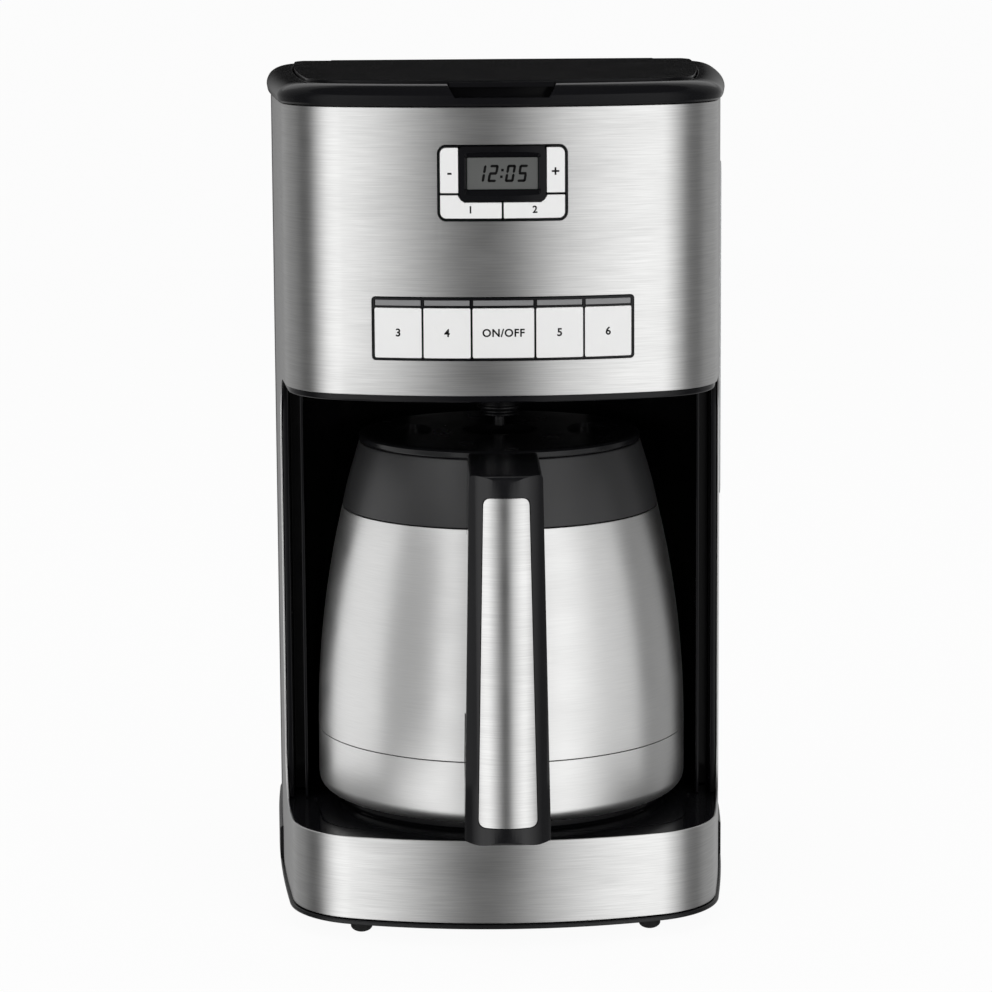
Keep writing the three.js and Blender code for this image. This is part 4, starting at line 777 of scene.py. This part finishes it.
def row_key(name, x, width):
    """A brewing key and the lamp above it."""
    key = meet(upright(rectangle(width, KEY_TALL, KEY_ROUND, x, KEY_MIDDLE)), bowed(-KEY_PROUD, KEY_THICK))
    stands_for(key, "key_" + name, bevel=0.4)
    lamp = upright(rectangle(width - 2 * SEAM, LAMP_TALL - SEAM, 0.2, x, LAMP_MIDDLE))
    stands_for(meet(lamp, bowed(-0.15, LAMP_DEEP - SEAM)), "lamp_" + name, bevel=0.2)


def clock_bezel():
    """The surround whose four faces slope in to the screen."""
    low, high = span("clock_bezel")
    corners = [(low[0], high[2]), (low[0], low[2]), (high[0], low[2]), (high[0], high[2])]
    body = meet(upright(softened(corners, 2.2, 6)), bowed(-2 * SEAM, 2.6))
    cut(body, upright(face_of("clock_screen", 0.2, 0.5)))
    inner, outer = face_of("clock_screen", 0.2, 0.6, steps=2), face_of("clock_bezel", -1.2, 0.8, steps=2)
    verts = [(x, FRONT + 1.5, z) for x, z in inner] + [(x, FRONT - 1.4, z) for x, z in outer]
    cut(body, mesh_object("slopes", verts, closed_faces(len(inner))))
    stands_for(body, "clock_bezel", bevel=0.15)


DIGIT_TALL, DIGIT_WIDTH, BAR, SLANT = 6.8, 3.5, 1.0, tan(radians(10))
DIGITS_LEFT, DIGIT_STEP, COLON_STEP = -10.2, DIGIT_WIDTH + 1.3, 2
LIT_BARS = {"0": "abcdef", "1": "bc", "2": "abged", "5": "afgcd"}


def bar(name):
    """Outline of one bar of a digit that has seven, from the middle of the digit's left side."""
    half, edge, inset = DIGIT_TALL / 2, BAR / 2, BAR * 0.06
    if name in "agd":
        z = {"a": half - edge, "g": 0, "d": edge - half}[name]
        near, far = inset, DIGIT_WIDTH - inset
        return [
            (near, z), (near + edge, z + edge), (far - edge, z + edge), (far, z), (far - edge, z - edge),
            (near + edge, z - edge),
        ]
    x = edge if name in "ef" else DIGIT_WIDTH - edge
    low, high = (inset, half - inset) if name in "bf" else (inset - half, -inset)
    return [
        (x, low), (x + edge, low + edge), (x + edge, high - edge), (x, high), (x - edge, high - edge),
        (x - edge, low + edge),
    ]


def shown_time():
    """Outlines of the bars and dots of 12:05, about the screen's middle."""
    shapes, x = [], DIGITS_LEFT
    dot = [(-BAR / 2, -BAR / 2), (BAR / 2, -BAR / 2), (BAR / 2, BAR / 2), (-BAR / 2, BAR / 2)]
    for mark in "12:05":
        if mark == ":":
            for z in (-1.3, 1.3):
                shapes.append([(x + 0.4 + z * SLANT + u, z + v) for u, v in dot])
            x += COLON_STEP
            continue
        for name in LIT_BARS[mark]:
            shapes.append([(x + u + v * SLANT, v) for u, v in bar(name)])
        x += DIGIT_STEP
    return shapes


def clock_screen():
    low, high = span("clock_screen")
    stands_for(upright(face_of("clock_screen", 0, 0.5), low[1], high[1]), "clock_screen", bevel=0.15)
    level = (low[2] + high[2]) / 2
    verts, faces = [], []
    for shape in shown_time():
        faces += closed_faces(len(shape), len(verts))
        verts += [(x, low[1] + deep, level + z) for deep in (-0.05, 0.02) for x, z in shape]
    printed(mesh_object("digits", verts, faces), "display_digits", "machine", "gloss_black")


def bow_at(x):
    """Depth of the bowed front face at a distance from the middle."""
    return FRONT + FRONT_RADIUS - sqrt(FRONT_RADIUS ** 2 - x * x)


def key_mark(node, text, x, z, tall=3.1):
    """A printed mark in the middle of a key, where 0.72 is a capital's share of the size."""
    curve = bpy.data.curves.new("mark", "FONT")
    curve.body, curve.size = text, tall / 0.72
    curve.align_x, curve.align_y = "CENTER", "CENTER"
    curve.extrude, curve.offset, curve.space_character = 0.05, 0.11, 1.1
    obj = placed("mark", curve)
    letters = worked_out(obj)
    bpy.data.objects.remove(obj)
    verts = [(x + v.co.x, bow_at(x + v.co.x) - KEY_PROUD - v.co.z, z + v.co.y) for v in letters.vertices]
    faces = [tuple(polygon.vertices) for polygon in letters.polygons]
    printed(mesh_object("mark", verts, faces), node + "_mark", BODY_OF[node], "ivory")


def key_marks():
    side = CLOCK_WIDTH / 2 - CLOCK_BORDER - (CLOCK_WIDTH - 2 * CLOCK_BORDER - BEZEL_WIDTH) / 4
    upper = CLOCK_MIDDLE + CLOCK_TALL / 2 - CLOCK_BORDER - SIDE_KEY_TALL / 2 - 0.8
    lower = CLOCK_MIDDLE - CLOCK_TALL / 2 + CLOCK_BORDER + 3.4
    key_mark("key_hour", "-", -side, upper, 4.2)
    key_mark("key_minute", "+", side, upper, 4.2)
    key_mark("key_program", "1", -CLOCK_WIDTH / 4, lower, 2.8)
    key_mark("key_tone", "2", CLOCK_WIDTH / 4, lower, 2.8)
    for (name, x, _), text in zip(row_keys(), ("3", "4", "ON/OFF", "5", "6")):
        key_mark("key_" + name, text, x, KEY_MIDDLE)


# -------------------- carafe

SHELL_BOTTOM, SHELL_TOP = SHELL[0][2], SHELL[1][2]
CARAFE_RADIUS = (SHELL[1][0] - SHELL[0][0]) / 2
SHOULDER_FALL = 11.2
SHELL_TOP_RADIUS = CARAFE_RADIUS - SHOULDER_FALL
COLLAR_BOTTOM, RIM_TOP = COLLAR[0][2], COLLAR[1][2]
COLLAR_TOP = 59.6
STEEL_THICK = 0.9
MOUTH_RADIUS = 47
STOPPER_BOTTOM, CARAFE_TOP = RIM_TOP + SEAM, STOPPER[1][2]
BREW_HOLE = 6.5


def shell_radius(z):
    """Radius of the steel at a height."""
    rise = max(0, z - SHELL_BOTTOM)
    height = SHELL_TOP - SHELL_BOTTOM
    bend = (height ** 2 + SHOULDER_FALL ** 2) / (2 * SHOULDER_FALL)
    return CARAFE_RADIUS - (bend - sqrt(bend ** 2 - rise ** 2))


def shell_side(out):
    """Profile of the steel above its seam, moved out by a distance."""
    levels = [SHELL_BOTTOM + (SHELL_TOP - SHELL_BOTTOM) * i / 24 for i in range(25)]
    return [(shell_radius(z) + out, z) for z in levels]


def carafe_shell():
    profile = shell_side(0) + shell_side(-STEEL_THICK)[::-1]
    stands_for(lathe(profile, soft=0.25), "carafe_shell", look=CARAFE_STEEL)


def carafe_cup():
    radius, bottom, top, bend = CARAFE_RADIUS, CUP[0][2], CUP[1][2], 6
    outer, inner = [arc(radius - bend, bottom + bend, r, -90, 90, 8) for r in (bend, bend - STEEL_THICK)]
    profile = [
        (0, bottom), *outer, (radius, top), (radius - STEEL_THICK, top), *reversed(inner),
        (0, bottom + STEEL_THICK),
    ]
    stands_for(lathe(profile, soft=0.25), "carafe_cup", look=CARAFE_STEEL)


def carafe_foot():
    radius, low, high = (FOOT[1][0] - FOOT[0][0]) / 2, FOOT[0][2], FOOT[1][2]
    under, chamfer = high - STEEL_THICK, 0.9
    profile = [
        (0, under), (radius - 4, under), (radius - 4, low), (radius - chamfer, low), (radius, low + chamfer),
        (radius, high), (0, high),
    ]
    stands_for(lathe(profile), "carafe_foot")


def collar_side(out=0.0):
    """The collar's side, from the steel up to its rim, as shares of its height and narrowing."""
    tall, fall = RIM_TOP - COLLAR_BOTTOM, SHELL_TOP_RADIUS - COLLAR_TOP
    side = [
        (SHELL_TOP_RADIUS - narrow * fall + out, COLLAR_BOTTOM + rise * tall)
        for narrow, rise in ((0, 0), (0.27, 0.3), (0.6, 0.6))
    ]
    return side + [(COLLAR_TOP + out, RIM_TOP - 2)]


def carafe_collar():
    inner, ledge = MOUTH_RADIUS + 2 + SEAM, COLLAR_BOTTOM + 2 + SEAM
    profile = [
        *collar_side(), (COLLAR_TOP - 2 * SEAM, RIM_TOP), (MOUTH_RADIUS, RIM_TOP), (MOUTH_RADIUS, ledge),
        (inner, ledge), (inner, COLLAR_BOTTOM), (inner + WALL, COLLAR_BOTTOM),
    ]
    stands_for(lathe(profile, soft=0.6), "carafe_collar")


def carafe_stopper():
    """The stopper with a brewing hole in its middle and a hollow for a finger on both sides."""
    rim, stem, low = COLLAR_TOP - 3 * SEAM, MOUTH_RADIUS - SLIP, STOPPER[0][2]
    skirt, well, under = stem - 2 * WALL, BREW_HOLE + 3 * WALL, STOPPER_BOTTOM - 2 * WALL
    body = lathe([
        (BREW_HOLE, under), (skirt, under), (skirt, low), (stem - WALL, low), (stem, low + WALL),
        (stem, STOPPER_BOTTOM), (rim, STOPPER_BOTTOM), (rim + SEAM, STOPPER_BOTTOM + 2 * SEAM),
        (rim + SEAM, CARAFE_TOP - 1), (rim - 1, CARAFE_TOP - SEAM), (rim - 2 * WALL, CARAFE_TOP),
        (well + WALL, CARAFE_TOP), (well, CARAFE_TOP - 2), (BREW_HOLE, CARAFE_TOP - 3),
    ])
    hollows = [arc(x, AXIS, 8, 0, 360, 72, 17)[:-1] for x in (-36.5, 36.5)]
    cut(body, *[prism(hollow, CARAFE_TOP - 2, CARAFE_TOP + 3) for hollow in hollows])
    stands_for(body, "carafe_stopper", bevel=0.35)


GRIP_FRONT = HANDLE[0][1]
GRIP_TOP, GRIP_BOTTOM = HANDLE[1][2], HANDLE[0][2]
GRIP_TOP_WIDTH, GRIP_BOTTOM_WIDTH, GRIP_THICK, GRIP_BOW = 28.9, 34.3, 13, 21
INLAY_BORDER, INLAY_TOP, INLAY_BOTTOM, INLAY_DEEP, INLAY_ROUND = 5.2, 8.3, 7.2, 1.2, 3.2
GRIP_ROUND, BRIDGE_TALL, BRIDGE_ROUND = 4, 22, 16


def handle_face(shrink, top_drop, bottom_rise, radius, high=AXIS):
    """The handle seen from the front, made smaller, raised from its front to a depth."""
    a, b = GRIP_TOP_WIDTH / 2 - shrink, GRIP_BOTTOM_WIDTH / 2 - shrink
    low, top = GRIP_BOTTOM + bottom_rise, GRIP_TOP - top_drop
    return upright(softened([(-b, low), (b, low), (a, top), (-a, top)], radius, 8), GRIP_FRONT - OVER, high)


def grip_skin(low, high):
    """What lies from one depth to another under the bowed front of the grip."""
    y = GRIP_FRONT + GRIP_BOW
    outer, inner = [drum(0, GRIP_BOW - depth, 0, LID_TOP, y, 192) for depth in (low, high)]
    return meet(cut(outer, inner), before(y))


def cup_reach(z):
    """How far forward the steel reaches at a height, at the handle's width."""
    return AXIS - sqrt(shell_radius(z) ** 2 - (GRIP_BOTTOM_WIDTH / 2) ** 2)


def loop_outline():
    """The handle's loop seen from the side, before its middle is cut out."""
    front, top, low, r = GRIP_FRONT, GRIP_TOP, GRIP_BOTTOM, GRIP_ROUND
    points = [(cup_reach(low) + 1.5 * r, low + 1.5 * r), (AXIS, low + 1.5 * r), (AXIS, top)]
    points += bend((front + r, top), (front, top), (front, top - r))
    return points + bend((front, low + r), (front, low), (front + r, low))


def finger_room():
    """The room for fingers seen from the side."""
    back, low, top, r = GRIP_FRONT + GRIP_THICK, GRIP_BOTTOM + BRIDGE_TALL, SHELL_TOP, GRIP_ROUND
    points = [(cup_reach(low) - r, low + r), (cup_reach(top) + r, top - WALL)]
    points += bend((back + BRIDGE_ROUND, top + WALL), (back, top), (back, top - BRIDGE_ROUND))
    return points + bend((back, low + 2 * r), (back, low), (back + r, low))


def carafe_handle():
    """The loop, kept clear of the carafe and hollowed for the inlay."""
    under, over = FOOT[0][2] - 3, GRIP_TOP + 3
    clear = lathe([
        (0, under), (CARAFE_RADIUS + SEAM, under), *shell_side(SEAM), *collar_side(SEAM),
        (COLLAR_TOP + SEAM, over), (0, over),
    ], segments=192, soft=0)
    section = join(grip_skin(0, GRIP_BOW - SEAM), behind(GRIP_FRONT + GRIP_BOW - SEAM))
    loop = cut(prism(loop_outline(), -50, 50, "x"), prism(finger_room(), -60, 60, "x"))
    upper = AXIS - sqrt(COLLAR_TOP ** 2 - (GRIP_TOP_WIDTH / 2) ** 2) + BRIDGE_ROUND
    meet(loop, handle_face(0, 0, 0, GRIP_ROUND / 2, upper), section)
    recess = handle_face(INLAY_BORDER, INLAY_TOP, INLAY_BOTTOM, INLAY_ROUND)
    cut(loop, clear, meet(recess, grip_skin(-3, INLAY_DEEP)))
    stands_for(loop, "carafe_handle", bevel=0.5, look=GRIP_BLACK)


def handle_inlay():
    face = handle_face(INLAY_BORDER + SEAM, INLAY_TOP + SEAM, INLAY_BOTTOM + SEAM, INLAY_ROUND)
    stands_for(meet(face, grip_skin(SEAM / 2, INLAY_DEEP - SEAM)), "handle_inlay", bevel=0.2)


# -------------------- brewing parts that show


def basket_holder():
    """The holder of the filter, with two beads round its nozzle."""
    bore, low, rim, wall = 6.8, NOZZLE[0][2], 3, 2
    beads = [(8.4, 0), (8.6, 1.2), (7.6, 1.5), (7.6, 2.6), (9.2, 2.9), (9.3, 4.2), (8.6, 4.5)]
    profile = [
        (bore, low + wall), *[(radius, low + rise) for radius, rise in beads],
        (9.6, BAY_TOP - FUNNEL_DROP), (BASKET_FLOOR + WALL, BAY_TOP - WALL),
        (BASKET_FLOOR + WALL, BASKET_BOTTOM), (BASKET_FLOOR + 3 * WALL, BASKET_BOTTOM + 1),
        (BASKET_RADIUS, BASKET_TOP - rim), (BASKET_RADIUS + rim, BASKET_TOP - rim),
        (BASKET_RADIUS + rim, BASKET_TOP), (BASKET_RADIUS - wall, BASKET_TOP),
        (BASKET_FLOOR + 2 * WALL, BASKET_BOTTOM + SEAT_RISE), (BASKET_FLOOR, BASKET_BOTTOM),
        (bore, BASKET_BOTTOM),
    ]
    stands_for(lathe(profile, soft=0.5), "basket_holder")


def foot(node):
    """A domed rubber pad whose stem is pushed through the pan."""
    low, high = span(node)
    radius, top, stem, dome = (high[1] - low[1]) / 2, PAN[0][2] - SEAM, 2.4, 0.42
    angles = [radians(a) for a in range(0, 91, 9)]
    pad = lathe([
        *[(radius * sin(a), dome * top * (1 - cos(a))) for a in angles], (radius, top), (stem, top),
        (stem, PAN_TOP + SEAM), (stem + 0.7, PAN_TOP + 2 * SEAM), (stem, PAN_TOP + stem), (0, PAN_TOP + stem),
    ], (low[0] + high[0]) / 2, (low[1] + high[1]) / 2, 48, 0)
    stands_for(pad, node, bevel=0.2)


# -------------------- assembly

for make in (
    front_wrap, rear_housing, bay_liner, head_floor, platform, base_pan, top_frame, lid, clock_frame,
    row_frame,
):
    make()
for node in CLOCK_KEYS:
    clock_key(node)
for key in row_keys():
    row_key(*key)
for make in (
    key_marks, clock_bezel, clock_screen, carafe_shell, carafe_cup, carafe_foot, carafe_collar,
    carafe_stopper, carafe_handle, handle_inlay, basket_holder,
):
    make()
for node in [n for n in frame["nodes"] if n.startswith("foot_")]:
    foot(node)

# The other CAD nodes are shown as they are, with softened edges.
replaced = {n for o in bpy.data.objects for n in o.get("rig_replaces", [])}
for node in frame["nodes"]:
    if node not in replaced:
        dress(frame["nodes"][node], SLOT_OF[node], 0.25)

# -------------------- studio


def calculated(tree, operation, value, other):
    """A socket's value worked out with another socket or a number."""
    node = added(tree, "Math")
    node.operation = operation
    tree.links.new(value, node.inputs[0])
    if isinstance(other, float):
        node.inputs[1].default_value = other
    else:
        tree.links.new(other, node.inputs[1])
    return node.outputs[0]


def seen_directly(tree):
    """1 for what the camera sees straight or through glass or in a reflection, else 0."""
    seen = added(tree, "LightPath")
    value = seen.outputs["Is Camera Ray"]
    for kind in ("Is Glossy Ray", "Is Transmission Ray"):
        value = calculated(tree, "MAXIMUM", value, seen.outputs[kind])
    return value


def pale_floor():
    """A floor that looks evenly pale to the camera and still takes the object's shadow."""
    reach, level, glow_share = 30000, -0.2, 0.95
    corners = [(x * reach, y * reach, level) for x, y in ((-1, -1), (1, -1), (1, 1), (-1, 1))]
    floor = mesh_object("studio_floor", corners, [(0, 1, 2, 3)])
    material, tree, bsdf = shader("studio_floor_paint", (0.9, 0.9, 0.9), 0.9)
    glow, mix = added(tree, "Emission"), added(tree, "MixShader")
    share = calculated(tree, "MULTIPLY", seen_directly(tree), glow_share)
    tree.links.new(share, mix.inputs["Fac"])
    tree.links.new(bsdf.outputs["BSDF"], mix.inputs[1])
    tree.links.new(glow.outputs["Emission"], mix.inputs[2])
    tree.links.new(mix.outputs["Shader"], tree.nodes["Material Output"].inputs["Surface"])
    floor.data.materials.append(material)
    floor.visible_glossy = False


def white_world():
    """A world that is white to the camera and lights the object at a lower level."""
    world = bpy.data.worlds.new("studio")
    bpy.context.scene.world = world
    world.use_nodes = True
    tree = world.node_tree
    background = tree.nodes["Background"]
    put(background, {"Color": (1, 1, 1, 1)})
    level = ranged(tree, seen_directly(tree), 0.42, 1.0, 0.0, 1.0)
    tree.links.new(level, background.inputs["Strength"])


# Degrees from the front, growing to the right, and how bright the wall is there.
SCREENS = [
    (-180, 0.01), (-173, 0.01), (-165, 0.33), (-145, 0.36), (-112, 0.26), (-98, 0.11), (-84, 0.12),
    (-58, 1.33), (-38, 1.4), (-22, 0.67), (-8, 0.08), (3, 0.08), (14, 0.83), (30, 1.3), (38, 1.42),
    (45, 1.3), (78, 0.19), (98, 0.16), (112, 0.33), (145, 0.38), (165, 0.43), (173, 0.01), (180, 0.01),
]
TENT_RADIUS, TENT_HEIGHT, TENT_SIDES = 2600, 3200, 96


def wall_angle(tree):
    """0 to 1 round the object, from the back over the left to the back again."""
    place, split = added(tree, "TexCoord"), added(tree, "SeparateXYZ")
    tree.links.new(place.outputs["Object"], split.inputs[0])
    ahead = calculated(tree, "MULTIPLY", split.outputs["Y"], -1.0)
    return ranged(tree, calculated(tree, "ARCTAN2", split.outputs["X"], ahead), 0, 1, -pi, pi)


def wall_cloth():
    """Glows as SCREENS says."""
    material, tree, _ = shader("studio_screen_cloth", (0, 0, 0), 1)
    ramp, glow = added(tree, "ValToRGB"), added(tree, "Emission")
    most = max(level for _, level in SCREENS)
    first, last = ramp.color_ramp.elements
    first.color, last.color = [(level / most,) * 3 + (1,) for _, level in (SCREENS[0], SCREENS[-1])]
    for angle, level in SCREENS[1:-1]:
        ramp.color_ramp.elements.new((angle + 180) / 360).color = (level / most,) * 3 + (1,)
    put(glow, {"Strength": most})
    tree.links.new(wall_angle(tree), ramp.inputs["Fac"])
    tree.links.new(ramp.outputs["Color"], glow.inputs["Color"])
    tree.links.new(glow.outputs["Emission"], tree.nodes["Material Output"].inputs["Surface"])
    return material


def screens():
    """Pale and dark screens round the object that only reflections show."""
    ring = arc(0, 0, TENT_RADIUS, -90, 360, TENT_SIDES)[:-1]
    floor, ceiling = [[(x, y, z) for x, y in ring] for z in (-TENT_HEIGHT, TENT_HEIGHT)]
    wall = mesh_object("studio_screens", floor + ceiling, closed_faces(TENT_SIDES)[2:])
    wall.data.materials.append(wall_cloth())
    only_reflected(wall)
    glowing("studio_ceiling", ceiling, 0.03)
    glowing("studio_pit", floor, 0.3)
    strip_face = [(-1300, 1000), (1300, 1000), (1300, 2000), (-1300, 2000)]
    glowing("studio_strip", [(x, 2200, z) for x, z in strip_face], 0.7)
    card("studio_card_left", -97, 18, 76, 0.9)
    card("studio_card_front", -97, -62, 17, 0.42)
    card("studio_card_right", 97, -14, 36, 0.72)


def card(name, x, near, far, level):
    """A small upright card between two depths, level with the machine's side."""
    near, far, low, high = FRONT + near, FRONT + far, 52, 200
    glowing(name, [(x, near, low), (x, far, low), (x, far, high), (x, near, high)], level)


def glowing(name, corners, level):
    """A flat screen that shines evenly, where 1 is white."""
    screen = mesh_object(name, corners, [tuple(range(len(corners)))])
    material, _, bsdf = shader(name + "_cloth", (0, 0, 0), 1)
    put(bsdf, {"Emission Color": (1, 1, 1, 1), "Emission Strength": level})
    screen.data.materials.append(material)
    only_reflected(screen)


def only_reflected(screen):
    screen.visible_camera = screen.visible_diffuse = False
    screen.visible_transmission = screen.visible_shadow = False


def softbox(name, azimuth, distance, height, aim, width, tall, level):
    """An area lamp that shines at a level, where 1 is white, and points at a height on the middle.

    Its azimuth is 0 in front and grows to the right.
    """
    angle = radians(azimuth)
    lamp = bpy.data.lights.new(name, "AREA")
    lamp.shape = "RECTANGLE"
    lamp.size, lamp.size_y = width, tall
    lamp.energy = level * pi * width * tall
    obj = placed(name, lamp)
    obj.location = distance * sin(angle), -distance * cos(angle), height
    obj.rotation_euler = (Vector((0, 0, aim)) - obj.location).to_track_quat("-Z", "Y").to_euler()
    obj.visible_glossy = False


pale_floor()
white_world()
screens()
for name, azimuth in (("softbox_left", -38), ("softbox_right", 38)):
    softbox(name, azimuth, distance=2.2, height=0.75, aim=0.2, width=1.0, tall=1.6, level=2.35)
softbox("softbox_top", 0, distance=0.1, height=2.4, aim=0, width=1.6, tall=1.6, level=1.4)

# The camera looks down a little, in metres and degrees.
camera_data = bpy.data.cameras.new("camera")
camera_data.sensor_width = 36
camera_data.lens = 129.4
camera_data.shift_y = -0.05
camera = placed("camera", camera_data)
camera.location = -0.032, FRONT * MM - 1.3971, 0.4213
camera.rotation_euler = [radians(angle) for angle in (90 - 8.82, 0.357, -1.235)]
bpy.context.scene.camera = camera
bpy.context.scene.view_settings.view_transform = "Standard"
